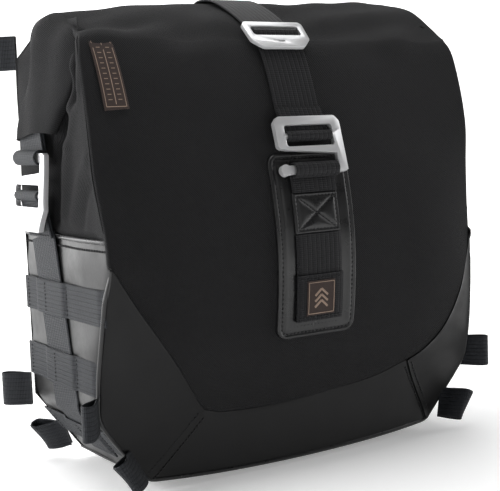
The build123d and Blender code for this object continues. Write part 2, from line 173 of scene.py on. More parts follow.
def ripple(u, v, seed, scale):
    """Soft uneven swell between about -1 and 1, the same every time."""
    rng = np.random.default_rng(seed)
    total = np.zeros(np.broadcast(u, v).shape)
    for _ in range(RIPPLE_WAVES):
        angle, phase = rng.uniform(0, tau, 2)
        pitch = scale * rng.uniform(0.6, 1.7)
        total = total + np.sin((u * cos(angle) + v * sin(angle)) * tau / pitch + phase)
    return total * 2 / RIPPLE_WAVES


# ---------------------------------------------------------------- the front's shape
front_depth = table([(z, y) for y, z in FRONT_LINE + ROLL_LINE[:2]])
recess = {"left": table(LEFT_RECESS), "right": table(RIGHT_RECESS)}
half_width = {"left": table(LEFT_WIDTH), "right": table(RIGHT_WIDTH)}


def set_back(name, x, z, half):
    """How far one side of the front lies back at x, where its outer edge is at `half`."""
    outer = np.clip((x * SIDES[name] - half + RECESS_REACH) / RECESS_REACH, 0, 1.1)
    return recess[name](z) * outer ** RECESS_CURVE


def front_surface(x, z):
    """Points on the puffed front for arrays of x and z."""
    x, z = np.broadcast_arrays(np.asarray(x, float), np.asarray(z, float))
    y = front_depth(z)
    for name in SIDES:
        y = y + set_back(name, x, z, half_width[name](z))
    middle = np.clip(1 - (x / 130) ** 2, 0, 1)
    belly = 6.0 * middle * np.clip(1 - z / 40, 0, 1)
    sag = 3.5 * middle * np.clip(1 - z / 12, 0, 1)
    return np.stack([x, y - belly, z - sag], axis=-1)


def front_edge(name, z):
    """The outer edge of the front at the height z, as an array of points."""
    z = np.asarray(z, float)
    return front_surface(SIDES[name] * half_width[name](z), z)


def front_place(z, out):
    """The point `out` in front of the middle of the front at the height z, as (y, z)."""
    high, low = z + 1.0, z - 1.0
    along = unit(np.array([front_depth(high) - front_depth(low), 2.0]))
    return np.array([front_depth(z) - along[1] * out, z + along[0] * out])


# ---------------------------------------------------------------- meshes
def normals_of(grid):
    """The direction out of a grid of points, at each of them."""
    down = np.gradient(grid, axis=0)
    along = np.gradient(grid, axis=1)
    return unit(np.cross(along, down))


def grid_runs(grid):
    """How far each point lies along its row, and each row along the middle column."""
    steps = np.linalg.norm(np.diff(grid, axis=1), axis=2)
    across = np.concatenate([np.zeros((len(grid), 1)), np.cumsum(steps, axis=1)], axis=1)
    return across, run_length(grid[:, grid.shape[1] // 2])[:, None]


def flat_map(grid):
    """The flat size of a grid in metres, from its middle column."""
    across, down = grid_runs(grid)
    across = across - across[:, grid.shape[1] // 2][:, None]
    return np.stack([across, np.broadcast_to(down, across.shape)], axis=2) * MM


def new_piece(name, points, faces, uvs=None):
    """A mesh object from points in mm, faces, and one UV pair for each face corner."""
    mesh = bpy.data.meshes.new(name)
    mesh.from_pydata((np.asarray(points) * MM).tolist(), [], [list(map(int, f)) for f in faces])
    if uvs is not None:
        layer = mesh.uv_layers.new(name="flat")
        layer.data.foreach_set("uv", np.asarray(uvs, np.float32).ravel())
    mesh.polygons.foreach_set("use_smooth", [True] * len(mesh.polygons))
    mesh.update()
    piece = bpy.data.objects.new(name, mesh)
    bpy.context.scene.collection.objects.link(piece)
    return piece


def cloth(name, grid, flip=False):
    """A surface of quads through a grid of points."""
    rows, cols = grid.shape[:2]
    index = np.arange(rows * cols).reshape(rows, cols)
    a, b = index[:-1, :-1].ravel(), index[:-1, 1:].ravel()
    c, d = index[1:, 1:].ravel(), index[1:, :-1].ravel()
    order = (d, c, b, a) if flip else (a, b, c, d)
    faces = np.stack(order, axis=1)
    flat = flat_map(grid).reshape(-1, 2)
    return new_piece(name, grid.reshape(-1, 3), faces, flat[faces.ravel()])


def baked(piece):
    """Puts the result of the piece's modifiers into its mesh."""
    graph = bpy.context.evaluated_depsgraph_get()
    shaped = piece.evaluated_get(graph)
    mesh = bpy.data.meshes.new_from_object(shaped, preserve_all_data_layers=True, depsgraph=graph)
    piece.modifiers.clear()
    piece.data = mesh


def thick(piece, amount, angle=SHARP_ANGLE):
    """Gives a surface its cloth thickness, on the inside."""
    solid = piece.modifiers.new("thickness", "SOLIDIFY")
    solid.thickness = amount * MM
    solid.offset = -1
    solid.use_even_offset = False
    baked(piece)
    piece.data.set_sharp_from_angle(angle=radians(angle))
    return piece


def ring_faces(rows, around, cap_start=True, cap_end=True):
    """The faces between rings of points, with its ends closed or open."""
    index = np.arange(rows * around).reshape(rows, around)
    following = np.roll(index, -1, axis=1)
    faces = np.stack([index[:-1], following[:-1], following[1:], index[1:]], axis=2)
    faces = faces.reshape(-1, 4).tolist()
    if cap_start:
        faces.append(index[0][::-1].tolist())
    if cap_end:
        faces.append(index[-1].tolist())
    return faces


def square_to(line, side):
    """The direction of a line at each point, and `side` made square to it."""
    along = unit(np.gradient(line, axis=0))
    side = unit(np.broadcast_to(np.asarray(side, float), line.shape))
    return along, unit(side - along * (side * along).sum(1, keepdims=True))


def circles(side, up, around, squash=1.0):
    """A ring of steps of length 1 round each point of a line, from two directions across it."""
    turn = np.linspace(0, tau, around, endpoint=False)[None, :, None]
    return side[:, None] * np.cos(turn) + up[:, None] * np.sin(turn) * squash


def webbing(name, line, side, width, thickness=1.4, start=True, end=True, run_from=0.0):
    """A woven strap whose middle follows a line; `side` points across it."""
    line = np.asarray(line, float)
    along, side = square_to(line, side)
    up = np.cross(side, along)
    half, rim, columns = width / 2, 0.55, 9
    spread = np.linspace(-half + rim, half - rim, columns)
    across = np.concatenate([spread, [half], spread[::-1], [-half]])
    lift = np.concatenate([[0.5] * columns, [0.0], [-0.5] * columns, [0.0]]) * thickness
    points = line[:, None] + side[:, None] * across[None, :, None] + up[:, None] * lift[None, :, None]
    rows, around = points.shape[:2]
    faces = ring_faces(rows, around, start, end)
    run = (run_length(line) + run_from) * MM
    flat = np.stack(np.meshgrid(across * MM, run), axis=2).reshape(-1, 2)
    uvs = np.concatenate([flat[face] for face in faces])
    piece = new_piece(name, points.reshape(-1, 3), faces, uvs)
    piece.data.set_sharp_from_angle(angle=radians(SHARP_ANGLE))
    return piece


def tube(name, line, radius, side, around=10, squash=1.0):
    """A round or flattened bead along a line."""
    line = np.asarray(line, float)
    along, side = square_to(line, side)
    points = line[:, None] + circles(side, np.cross(along, side), around, squash) * radius
    faces = ring_faces(len(line), around)
    turn = np.linspace(0, tau, around, endpoint=False)
    flat = np.stack(np.meshgrid(turn * MM, run_length(line) * MM), axis=2).reshape(-1, 2)
    return new_piece(name, points.reshape(-1, 3), faces, np.concatenate([flat[f] for f in faces]))


class Threads:
    """Stitches gathered from several seams into one piece."""

    share_of_pitch = 0.68
    rings, around = 6, 6

    def __init__(self):
        self.points, self.faces, self.count = [], [], 0

    def row(self, line, outward, pitch, radius, lift):
        """Stitches at an even pitch along a line that lies on the surface."""
        line = np.asarray(line, float)
        outward = unit(np.broadcast_to(np.asarray(outward, float), line.shape))
        run = run_length(line)
        count = max(1, int(run[-1] / pitch))
        step = run[-1] / count
        spots = np.linspace(-0.5, 0.5, self.rings)
        arch = np.sqrt(np.maximum(1 - (2 * spots) ** 2, 0))
        size = radius * (0.6 + 0.6 * arch)
        rise = (arch - 1) * radius * 1.6 + lift
        for i in range(count):
            at = (i + 0.5 + spots * self.share_of_pitch) * step
            path = np.stack([np.interp(at, run, line[:, k]) for k in range(3)], axis=1)
            out = np.stack([np.interp(at, run, outward[:, k]) for k in range(3)], axis=1)
            path = path + out * rise[:, None]
            side = unit(np.cross(unit(np.gradient(path, axis=0)), out))
            self.add(path[:, None] + circles(side, unit(out), self.around) * size[:, None, None])

    def add(self, rings):
        self.points.append(rings.reshape(-1, 3))
        self.faces += [[j + self.count for j in face] for face in ring_faces(self.rings, self.around)]
        self.count += self.rings * self.around

    def piece(self, name, material, body, slot):
        made = new_piece(name, np.vstack(self.points), self.faces)
        return settle(made, material, body)


def settle(piece, material, body=None, bends=None, stands_for=()):
    """Gives a finished piece its material, its place in the frame and the nodes it stands for."""
    piece.data.materials.clear()
    piece.data.materials.append(material)
    if bends is None:
        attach(piece, body)
    else:
        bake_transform(piece)
    if stands_for:
        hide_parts(*stands_for)
    return piece


# ---------------------------------------------------------------- shader node groups
def group_of(name, inputs, outputs):
    """An empty node group with named inputs and outputs."""
    group = bpy.data.node_groups.new(name, "ShaderNodeTree")
    for label, kind, value in inputs:
        socket = group.interface.new_socket(label, in_out="INPUT", socket_type=kind)
        socket.default_value = value
    for label, kind in outputs:
        group.interface.new_socket(label, in_out="OUTPUT", socket_type=kind)
    return group


class Tree:
    """Short hands for placing and joining nodes."""

    colour_a, colour_b, colour_out = 6, 7, 2

    def __init__(self, tree):
        self.tree = tree

    def node(self, kind, **settings):
        made = self.tree.nodes.new(kind)
        for key, value in settings.items():
            setattr(made, key, value)
        return made

    def put(self, target, value):
        if isinstance(value, bpy.types.NodeSocket):
            self.tree.links.new(value, target)
        else:
            target.default_value = value

    def math(self, operation, first, second=0.0, third=None):
        made = self.node("ShaderNodeMath", operation=operation)
        self.put(made.inputs[0], first)
        self.put(made.inputs[1], second)
        if third is not None:
            self.put(made.inputs[2], third)
        return made.outputs[0]

    def blend(self, share, first, second):
        made = self.node("ShaderNodeMix", data_type="RGBA")
        self.put(made.inputs[0], share)
        self.put(made.inputs[self.colour_a], first)
        self.put(made.inputs[self.colour_b], second)
        return made.outputs[self.colour_out]

    def range(self, value, low, high, new_low=0.0, new_high=1.0):
        made = self.node("ShaderNodeMapRange")
        for socket, given in zip(made.inputs[:5], (value, low, high, new_low, new_high)):
            self.put(socket, given)
        return made.outputs[0]

    def noise(self, vector, scale, detail, rough):
        made = self.node("ShaderNodeTexNoise")
        self.put(made.inputs["Vector"], vector)
        self.put(made.inputs["Scale"], scale)
        self.put(made.inputs["Detail"], detail)
        self.put(made.inputs["Roughness"], rough)
        return made.outputs["Fac"]


def wave(tree, value, pitch):
    """A sine of a length in metres, from 0 to 1."""
    turns = tree.math("DIVIDE", value, pitch)
    angle = tree.math("MULTIPLY", turns, tau)
    return tree.math("MULTIPLY_ADD", tree.math("SINE", angle), 0.5, 0.5)


def weave_group():
    """Canvas twill: slanted ribs crossed by finer yarns, with a little slub."""
    group = group_of("Twill weave", [("Pitch", "NodeSocketFloat", 0.0016)],
                     [("Height", "NodeSocketFloat"), ("Tone", "NodeSocketFloat")])
    tree = Tree(group)
    given, out = tree.node("NodeGroupInput"), tree.node("NodeGroupOutput")
    place = tree.node("ShaderNodeTexCoord").outputs["UV"]
    parts = tree.node("ShaderNodeSeparateXYZ")
    tree.put(parts.inputs[0], place)
    u, v = parts.outputs[0], parts.outputs[1]
    slub = tree.noise(place, 420.0, 2.0, 0.6)
    shifted = tree.math("MULTIPLY_ADD", slub, 0.0006, u)
    rib = wave(tree, tree.math("ADD", shifted, v), given.outputs["Pitch"])
    yarn = wave(tree, tree.math("SUBTRACT", u, v), tree.math("MULTIPLY", given.outputs["Pitch"], 0.62))
    body = tree.math("MULTIPLY_ADD", yarn, 0.35, tree.math("MULTIPLY", rib, 0.65))
    fuzz = tree.noise(place, 1900.0, 3.0, 0.7)
    tree.put(out.inputs["Height"], tree.math("MULTIPLY_ADD", fuzz, 0.55, body))
    tree.put(out.inputs["Tone"], tree.math("MULTIPLY_ADD", fuzz, 0.5, tree.math("MULTIPLY", body, 0.5)))
    return group


def ribs_group():
    """Flat woven webbing: lengthwise bands crossed by fine weft ribs."""
    group = group_of("Webbing ribs",
                     [("Band", "NodeSocketFloat", 0.0033), ("Rib", "NodeSocketFloat", 0.0016)],
                     [("Height", "NodeSocketFloat"), ("Tone", "NodeSocketFloat")])
    tree = Tree(group)
    given, out = tree.node("NodeGroupInput"), tree.node("NodeGroupOutput")
    place = tree.node("ShaderNodeTexCoord").outputs["UV"]
    parts = tree.node("ShaderNodeSeparateXYZ")
    tree.put(parts.inputs[0], place)
    band = wave(tree, parts.outputs[0], given.outputs["Band"])
    groove = tree.range(band, 0.0, 0.35)
    rib = wave(tree, parts.outputs[1], given.outputs["Rib"])
    fuzz = tree.noise(place, 1500.0, 2.0, 0.6)
    body = tree.math("MULTIPLY_ADD", rib, 0.45, tree.math("MULTIPLY", groove, 0.55))
    tree.put(out.inputs["Height"], tree.math("MULTIPLY_ADD", fuzz, 0.3, body))
    tree.put(out.inputs["Tone"], tree.math("MULTIPLY_ADD", fuzz, 0.3, tree.math("MULTIPLY", body, 0.7)))
    return group


def grain_group():
    """Leather: small pebbles, fine pores and long soft creases."""
    group = group_of("Leather grain", [("Pebbles", "NodeSocketFloat", 620.0)],
                     [("Height", "NodeSocketFloat"), ("Tone", "NodeSocketFloat")])
    tree = Tree(group)
    given, out = tree.node("NodeGroupInput"), tree.node("NodeGroupOutput")
    place = tree.node("ShaderNodeTexCoord").outputs["Object"]
    cells = tree.node("ShaderNodeTexVoronoi", feature="SMOOTH_F1")
    tree.put(cells.inputs["Vector"], place)
    tree.put(cells.inputs["Scale"], given.outputs["Pebbles"])
    creases = tree.noise(place, 60.0, 5.0, 0.62)
    pores = tree.noise(place, 1500.0, 2.0, 0.5)
    body = tree.math("MULTIPLY_ADD", cells.outputs["Distance"], 0.5, tree.math("MULTIPLY", creases, 1.6))
    tree.put(out.inputs["Height"], tree.math("MULTIPLY_ADD", pores, 0.2, body))
    tree.put(out.inputs["Tone"], creases)
    return group


def drift_group():
    """Slow uneven change of tone over a whole piece, as from handling and dye."""
    group = group_of("Tone drift", [("Scale", "NodeSocketFloat", 14.0), ("Amount", "NodeSocketFloat", 0.3)],
                     [("Factor", "NodeSocketFloat")])
    tree = Tree(group)
    given, out = tree.node("NodeGroupInput"), tree.node("NodeGroupOutput")
    place = tree.node("ShaderNodeTexCoord").outputs["Object"]
    cloud = tree.noise(place, given.outputs["Scale"], 4.0, 0.55)
    centred = tree.math("SUBTRACT", cloud, 0.5)
    tree.put(out.inputs["Factor"], tree.math("MULTIPLY_ADD", centred, given.outputs["Amount"], 0.5))
    return group


GROUPS = {}


def place_group(tree, name, **values):
    """One of the shared groups in a material, with the values that it has there."""
    node = tree.node("ShaderNodeGroup")
    node.node_tree = GROUPS[name]
    for key, value in values.items():
        node.inputs[key].default_value = value
    return node.outputs


def shell_material(name):
    """A new material, its nodes and its shader."""
    material = bpy.data.materials.new(name)
    material.use_nodes = True
    tree = Tree(material.node_tree)
    shader = material.node_tree.nodes["Principled BSDF"]
    return material, tree, shader


def shade(colour, factor):
    return (colour[0] * factor, colour[1] * factor, colour[2] * factor, 1.0)


def add_bump(tree, shader, height, strength, distance):
    bump = tree.node("ShaderNodeBump")
    bump.inputs["Strength"].default_value = strength
    bump.inputs["Distance"].default_value = distance * MM
    tree.put(bump.inputs["Height"], height)
    tree.put(shader.inputs["Normal"], bump.outputs["Normal"])


def canvas_material(name, colour, pitch):
    material, tree, shader = shell_material(name)
    weave = place_group(tree, "weave", Pitch=pitch * MM)
    drift = place_group(tree, "drift", Scale=9.0, Amount=0.9)
    tone = tree.blend(weave["Tone"], shade(colour, 0.15), shade(colour, 2.2))
    faded = tree.blend(drift["Factor"], shade(colour, 0.75), shade(colour, 1.25))
    tree.put(shader.inputs["Base Color"], tree.blend(0.45, tone, faded))
    shader.inputs["Roughness"].default_value = 0.92
    shader.inputs["Specular IOR Level"].default_value = 0.22
    shader.inputs["Sheen Weight"].default_value = 0.035
    shader.inputs["Sheen Roughness"].default_value = 0.55
    add_bump(tree, shader, weave["Height"], 1.0, 0.6)
    return material


def webbing_material(name, colour, band, rib, roughness=0.62):
    material, tree, shader = shell_material(name)
    ribs = place_group(tree, "ribs", Band=band * MM, Rib=rib * MM)
    drift = place_group(tree, "drift", Scale=22.0, Amount=0.5)
    tone = tree.blend(ribs["Tone"], shade(colour, 0.15), shade(colour, 2.0))
    faded = tree.blend(drift["Factor"], shade(colour, 0.8), shade(colour, 1.2))
    tree.put(shader.inputs["Base Color"], tree.blend(0.35, tone, faded))
    shader.inputs["Roughness"].default_value = roughness
    shader.inputs["Specular IOR Level"].default_value = 0.22
    shader.inputs["Sheen Weight"].default_value = 0.02
    add_bump(tree, shader, ribs["Height"], 0.85, 0.5)
    return material


def leather_material(name, colour, roughness=0.38, gloss=0.34):
    material, tree, shader = shell_material(name)
    grain = place_group(tree, "grain", Pebbles=620.0)
    drift = place_group(tree, "drift", Scale=12.0, Amount=0.8)
    tree.put(shader.inputs["Base Color"],
             tree.blend(drift["Factor"], shade(colour, 0.75), shade(colour, 1.3)))
    tree.put(shader.inputs["Roughness"],
             tree.range(grain["Tone"], 0.3, 0.7, roughness - 0.07, roughness + 0.09))
    shader.inputs["Specular IOR Level"].default_value = gloss
    add_bump(tree, shader, grain["Height"], 0.2, 0.3)
    return material


def metal_material(name, colour, roughness):
    """Bead-blasted and anodised metal, slightly darker where it has been handled."""
    material, tree, shader = shell_material(name)
    drift = place_group(tree, "drift", Scale=60.0, Amount=0.6)
    place = tree.node("ShaderNodeTexCoord").outputs["Object"]
    grit = tree.noise(place, 2600.0, 2.0, 0.6)
    tree.put(shader.inputs["Base Color"],
             tree.blend(drift["Factor"], shade(colour, 0.94), shade(colour, 1.0)))
    tree.put(shader.inputs["Roughness"], tree.range(grit, 0.3, 0.7, roughness - 0.05, roughness + 0.06))
    shader.inputs["Metallic"].default_value = 0.6
    add_bump(tree, shader, grit, 0.08, 0.08)
    return material


def plain_material(name, colour, roughness, grit_scale=900.0, bump=0.15, metallic=0.0):
    """Board, moulded plate and coated liner: a fine grit and an uneven tone."""
    material, tree, shader = shell_material(name)
    drift = place_group(tree, "drift", Scale=25.0, Amount=0.8)
    place = tree.node("ShaderNodeTexCoord").outputs["Object"]
    grit = tree.noise(place, grit_scale, 3.0, 0.6)
    tree.put(shader.inputs["Base Color"],
             tree.blend(drift["Factor"], shade(colour, 0.8), shade(colour, 1.2)))
    tree.put(shader.inputs["Roughness"], tree.range(grit, 0.3, 0.7, roughness - 0.06, roughness + 0.08))
    shader.inputs["Metallic"].default_value = metallic
    add_bump(tree, shader, grit, bump, 0.2)
    return material


MATERIALS = {}


def make_materials(look):
    GROUPS.update(weave=weave_group(), ribs=ribs_group(), grain=grain_group(), drift=drift_group())
    MATERIALS.update(
        canvas=canvas_material("Black canvas", look.canvas_colour, look.weave_pitch / MM),
        leather=leather_material("Black leather", look.leather_colour),
        front_leather=leather_material("Black front leather", look.leather_colour, 0.42, gloss=0.21),
        # The same leather painted 1.6 times lighter, as a painted highlight on the turned edges, the beads,
        # the patch and the tab, with more gloss.
        binding=leather_material("Leather painted lighter as highlight", [c * 1.6 for c in look.leather_colour], 0.3,
                                 gloss=0.42),
        strap=webbing_material("Front webbing", look.strap_colour, 4.0, 1.5),
        rows=webbing_material("Side webbing", look.side_webbing_colour, 3.1, 1.2),
        thread=plain_material("Black thread", (0.006, 0.006, 0.007), 0.75, 1800.0),
        metal=metal_material("Satin silver", look.metal_colour, 0.33),
        label=webbing_material("Brown label weave", look.label_colour, 0.9, 0.9, 0.8),
        tan=webbing_material("Tan label thread", look.label_thread_colour, 1.1, 0.8, 0.7),
        liner=plain_material("Grey coated liner", (0.20, 0.20, 0.205), 0.55),
        board=plain_material("Black board", (0.03, 0.03, 0.03), 0.8),
        plate=plain_material("Black moulded plate", (0.02, 0.02, 0.02), 0.5),
        rivet=plain_material("Satin rivet", (0.5, 0.5, 0.51), 0.35, 2200.0, 0.05, 0.9),
    )


# ---------------------------------------------------------------- the front canvas and the roll
CANVAS_COLUMNS = 111
# Where the roll's cloth ends on each side, by how far round the roll it is.
ROLL_RUNS = [0, 14, 28, 44, 60, 200]
LEFT_ROLL_END = [161, 156, 152, 149, 145, 136]
RIGHT_ROLL_END = [165, 166, 165, 162, 156, 146]
# How far past the edge and how far in each step of the turned cloth lies.
TURNED_STEPS = [(0.9, 0.9), (1.1, 3.0), (0.2, 5.5)]


def roll_lift(x):
    """How far the roll's top rises above its plain section along its length."""
    return np.interp(x, [-166, -140, -108, -91, -65, -21, 36, 107, 166],
                     [-9, -8, -4, -2, 0, 2.5, 3.5, 5.5, 7])


def between_seams(u, rows=44):
    """The canvas between the slanted seams, from its foot up to where they meet the sides."""
    left, right = smooth(CANVAS_LEFT, rows), smooth(CANVAS_RIGHT, rows)
    foot = smooth(CANVAS_FOOT, len(u))
    top = np.stack([np.linspace(left[-1, 0], right[-1, 0], len(u)), np.full(len(u), CANVAS_SIDE_Z)], axis=1)
    r = np.linspace(0, 1, rows)[:, None, None]
    w = u[None, :, None]
    flat = (1 - r) * foot[None] + r * top[None] + (1 - w) * left[:, None] + w * right[:, None]
    flat -= (1 - r) * ((1 - w) * left[0] + w * right[0]) + r * ((1 - w) * left[-1] + w * right[-1])
    return front_surface(flat[..., 0], flat[..., 1])


def above_seams(u, rows=50):
    """The canvas over the full width, up to the roll."""
    heights = np.linspace(CANVAS_SIDE_Z, FRONT_TOP, rows + 1)[1:]
    wide = -half_width["left"](heights)[:, None] * (1 - u) + half_width["right"](heights)[:, None] * u
    return front_surface(wide, np.broadcast_to(heights[:, None], wide.shape))


def over_the_roll(u, rows=40):
    """The canvas over the roll and down behind it."""
    section = smooth([FRONT_LINE[-1]] + ROLL_LINE, 200)
    run = run_length(section)
    at = np.linspace(0, run[-1], rows + 1)[1:]
    y, z = np.interp(at, run, section[:, 0]), np.interp(at, run, section[:, 1])
    left_end = np.interp(at, ROLL_RUNS, LEFT_ROLL_END)
    right_end = np.interp(at, ROLL_RUNS, RIGHT_ROLL_END)
    x = -left_end[:, None] * (1 - u) + right_end[:, None] * u
    back = sum(set_back(name, x, FRONT_TOP, ROLL_HALF_WIDTH) for name in SIDES)
    fade = 1 - ease(at, 0, 25)
    lift = roll_lift(x) * ease(at, 4, 42)[:, None]
    return np.stack([x, y[:, None] + fade[:, None] * back, z[:, None] + lift], axis=-1)


def front_canvas_grid():
    u = np.linspace(0, 1, CANVAS_COLUMNS)
    return np.concatenate([between_seams(u), above_seams(u), over_the_roll(u)])


def puffed(grid, edges=0.9, reach=2.2):
    """Dips a panel's borders into its seams."""
    across, down = grid_runs(grid)
    near = np.minimum(down, down[-1] - down)
    near = np.minimum(near, np.minimum(across, across[:, -1:] - across))
    dip = np.exp(-near / reach) * edges
    return grid - normals_of(grid) * dip[..., None]


def with_turned_edges(grid):
    """Adds columns that turn the cloth in at its two sides."""
    out = normals_of(grid)
    turned = []
    for column, beside in ((0, 1), (-1, -2)):
        edge, up = grid[:, column], out[:, column]
        side = unit(edge - grid[:, beside])
        turned.append([(edge + side * past - up * in_by)[:, None] for past, in_by in TURNED_STEPS])
    return np.concatenate(turned[0][::-1] + [grid] + turned[1], axis=1)


def build_front_canvas():
    grid = front_canvas_grid()
    out = normals_of(grid)
    x, z = grid[..., 0], grid[..., 2]
    down = run_length(grid[:, CANVAS_COLUMNS // 2])[:, None]
    seam_dip = 1.4 * np.exp(-down / 4.0)
    swell = 0.9 * ripple(x, z, 3, 95) * ease(z, 60, 110) * (1 - hump(x, -146, 16) * ease(z, 240, 262))
    crest = ease(z, 285, 312)
    creases = 2.2 * ripple(x * 0.9, grid[..., 1] * 1.6 + z * 0.4, 8, 52) * crest
    under_strap = -0.8 * hump(x, 0, 24) * ease(z, 245, 275)
    front_only = 1 - ease(grid[..., 1], -30, 0)
    hook_hollow = -1.0 * hump(x, 0, 22) * hump(z, 237, 16)
    amount = swell - seam_dip + creases * (0.5 + 0.5 * front_only) + under_strap + hook_hollow
    flat_middle = 1 - hump(x, 0, 30) * (1 - crest)
    grid = grid + out * (amount * flat_middle)[..., None]
    piece = thick(cloth("front_and_roll_canvas", with_turned_edges(grid)), CANVAS_THICK)
    settle(piece, MATERIALS["canvas"],
           bends=("bag", "roll_top", (0, -40, 310), (0, -12, 326)),
           stands_for=("front_canvas_panel", "roll_top_canvas"))


def build_closing_strip():
    """The stiff strip rolled into the mouth, a little shorter than the cloth round it."""
    x = np.linspace(-126, 128, 40)
    line = np.column_stack([x, np.full(len(x), 15.0), 327.0 + roll_lift(x)])
    strip = webbing("rolled_closing_strip", line, (0, 0.99, 0.14), 32.0, 2.2)
    settle(strip, MATERIALS["board"], "roll_top", stands_for=("roll_stiffener",))


def build_roll_core():
    """The rolled layers under the outer canvas, seen at the back and below."""
    points = [(40, 335), (47, 326), (45, 321.4), (20, 320.8), (-6, 320.6)]
    section = smooth(points, 34)
    x = np.linspace(-128, 132, 70)
    grid = np.stack(np.broadcast_arrays(x[None], section[:, :1], section[:, 1:]), axis=-1)
    bulge = 0.7 * ripple(grid[..., 0], grid[..., 1] * 2, 21, 60)
    grid[..., 2] += roll_lift(x)[None] * ease(section[:, 1], 321, 332)[:, None]
    grid = grid + normals_of(grid) * bulge[..., None]
    core = thick(cloth("roll_under_layers", grid, flip=True), CANVAS_THICK)
    settle(core, MATERIALS["canvas"], "roll_top")


# ---------------------------------------------------------------- tails
TAIL_STATIONS = {
    # x, z, front y, back y, thickness
    "left": [(112, 326, -6, 44, 4), (132, 327.5, -10, 44, 5.5), (147, 327, -15, 43, 7.5),
             (156.5, 321, -21, 42, 9), (162, 308, -26, 41, 10), (165, 291, -29, 41, 10),
             (168, 273, -27, 42, 9.5), (171, 258, -20, 44.5, 9), (172.6, 246, -12, 47.5, 8.5)],
    "right": [(122, 330, -8, 44, 4), (144, 335, -12, 44, 6), (159, 335.5, -17, 43, 8),
              (169, 329, -24, 42, 9.5), (172.5, 314, -29, 41, 10), (173, 292, -30, 41, 10),
              (172.8, 272, -23, 43, 9.5), (172.8, 258, -14, 45.5, 9), (172.6, 246, -6, 47.5, 8.5)],
}


def tail_grid(name):
    """The flattened tube of cloth that folds down over one side."""
    sign = SIDES[name]
    stations = smooth(TAIL_STATIONS[name], 60)
    x, z, front, back, thickness = stations.T
    path = np.stack([x * sign, np.zeros_like(x), z], axis=1)
    along = unit(np.gradient(path, axis=0))
    outward = unit(np.cross(along, np.array([0, 1.0, 0])) * sign)
    turn = np.linspace(0, tau, 56)
    across, lift = np.cos(turn), np.sin(turn)
    lift = np.sign(lift) * np.abs(lift) ** 0.75
    middle, half = (front + back) / 2, (back - front) / 2
    grid = path[:, None] + outward[:, None] * (lift[None, :, None] * thickness[:, None, None] / 2)
    grid[..., 1] = middle[:, None] + across[None] * half[:, None]
    run = run_length(path)
    down = run[:, None]
    outer = np.clip(lift, 0, 1)[None]
    slope = np.interp(down, [0, 30, 60, 110], [0.46, 0.40, 0.22, 0.10])
    fallen = -0.42 * np.clip(grid[..., 1] - 20, 0, 30) * hump(down, 76, 24)
    shear = fallen - slope * np.clip(22 - grid[..., 1], 0, 60) - 0.5 * np.clip(grid[..., 1] - 36, 0, 20)
    grid = grid + outward[:, None] * shear[..., None]
    drape = 1.5 * ripple(grid[..., 1] * 2.2, down * 0.5, 5 + sign, 60) * ease(down, 20, 50)
    hem_sag = 5.0 * ease(grid[..., 1], 0, 46) * ease(down, run[-1] - 26, run[-1])
    grid = grid + outward[:, None] * (drape * outer)[..., None]
    grid[..., 2] -= hem_sag
    return grid


def build_tails():
    for name, sign in SIDES.items():
        grid = tail_grid(name)
        piece = thick(cloth(f"{name}_roll_tail", grid, flip=sign > 0), 1.3, 60)
        settle(piece, MATERIALS["canvas"],
               bends=("roll_top", f"{name}_tail", (sign * 146, 12, 330), (sign * 172, 12, 300)),
               stands_for=(f"{name}_tail",))


# ---------------------------------------------------------------- gussets
def gusset_front_y(name, z):
    """Where the side starts behind the front's turned edge, also on the roll's slope."""
    z = np.asarray(z, float)
    low = front_edge(name, np.minimum(z, 306))[..., 1] + 2.5
    return low + np.interp(z, [306, 326], [0, 30])


# Each fold is its line of (y, z), how far it stands out and half its width.
LEFT_FOLDS = [
    ([(-46, 312), (-55, 300), (-54, 282), (-46, 266), (-36, 252), (-27, 236)], 1.6, 5.0),
    ([(-24, 312), (-31, 303), (-37, 293), (-37, 282), (-40, 272)], -15.0, 5.5),
    ([(-23, 318), (-25, 300), (-30, 285), (-35, 273), (-34, 262)], 3.0, 3.5),
    ([(-16, 312), (-22, 298), (-25, 284), (-24, 268), (-20, 250), (-12, 236)], -9.0, 6.0),
    ([(-70, 232), (-52, 222), (-38, 206), (-30, 186)], 1.8, 6.0),
    ([(-64, 214), (-50, 200), (-44, 182)], -2.0, 5.0),
    ([(-24, 236), (-20, 214), (-16, 190)], 2.0, 6.0),
    ([(-8, 236), (-6, 210), (-2, 184)], -3.0, 6.0),
]
RIGHT_FOLDS = [
    ([(-48, 306), (-52, 286), (-44, 262), (-34, 238)], 1.5, 6.0),
    ([(-26, 310), (-32, 290), (-30, 268), (-22, 246)], -10.0, 7.0),
    ([(-66, 236), (-46, 220), (-34, 196)], 2.0, 7.0),
    ([(-12, 232), (-8, 206), (-2, 182)], -2.5, 7.0),
]
FOLDS = {"left": LEFT_FOLDS, "right": RIGHT_FOLDS}


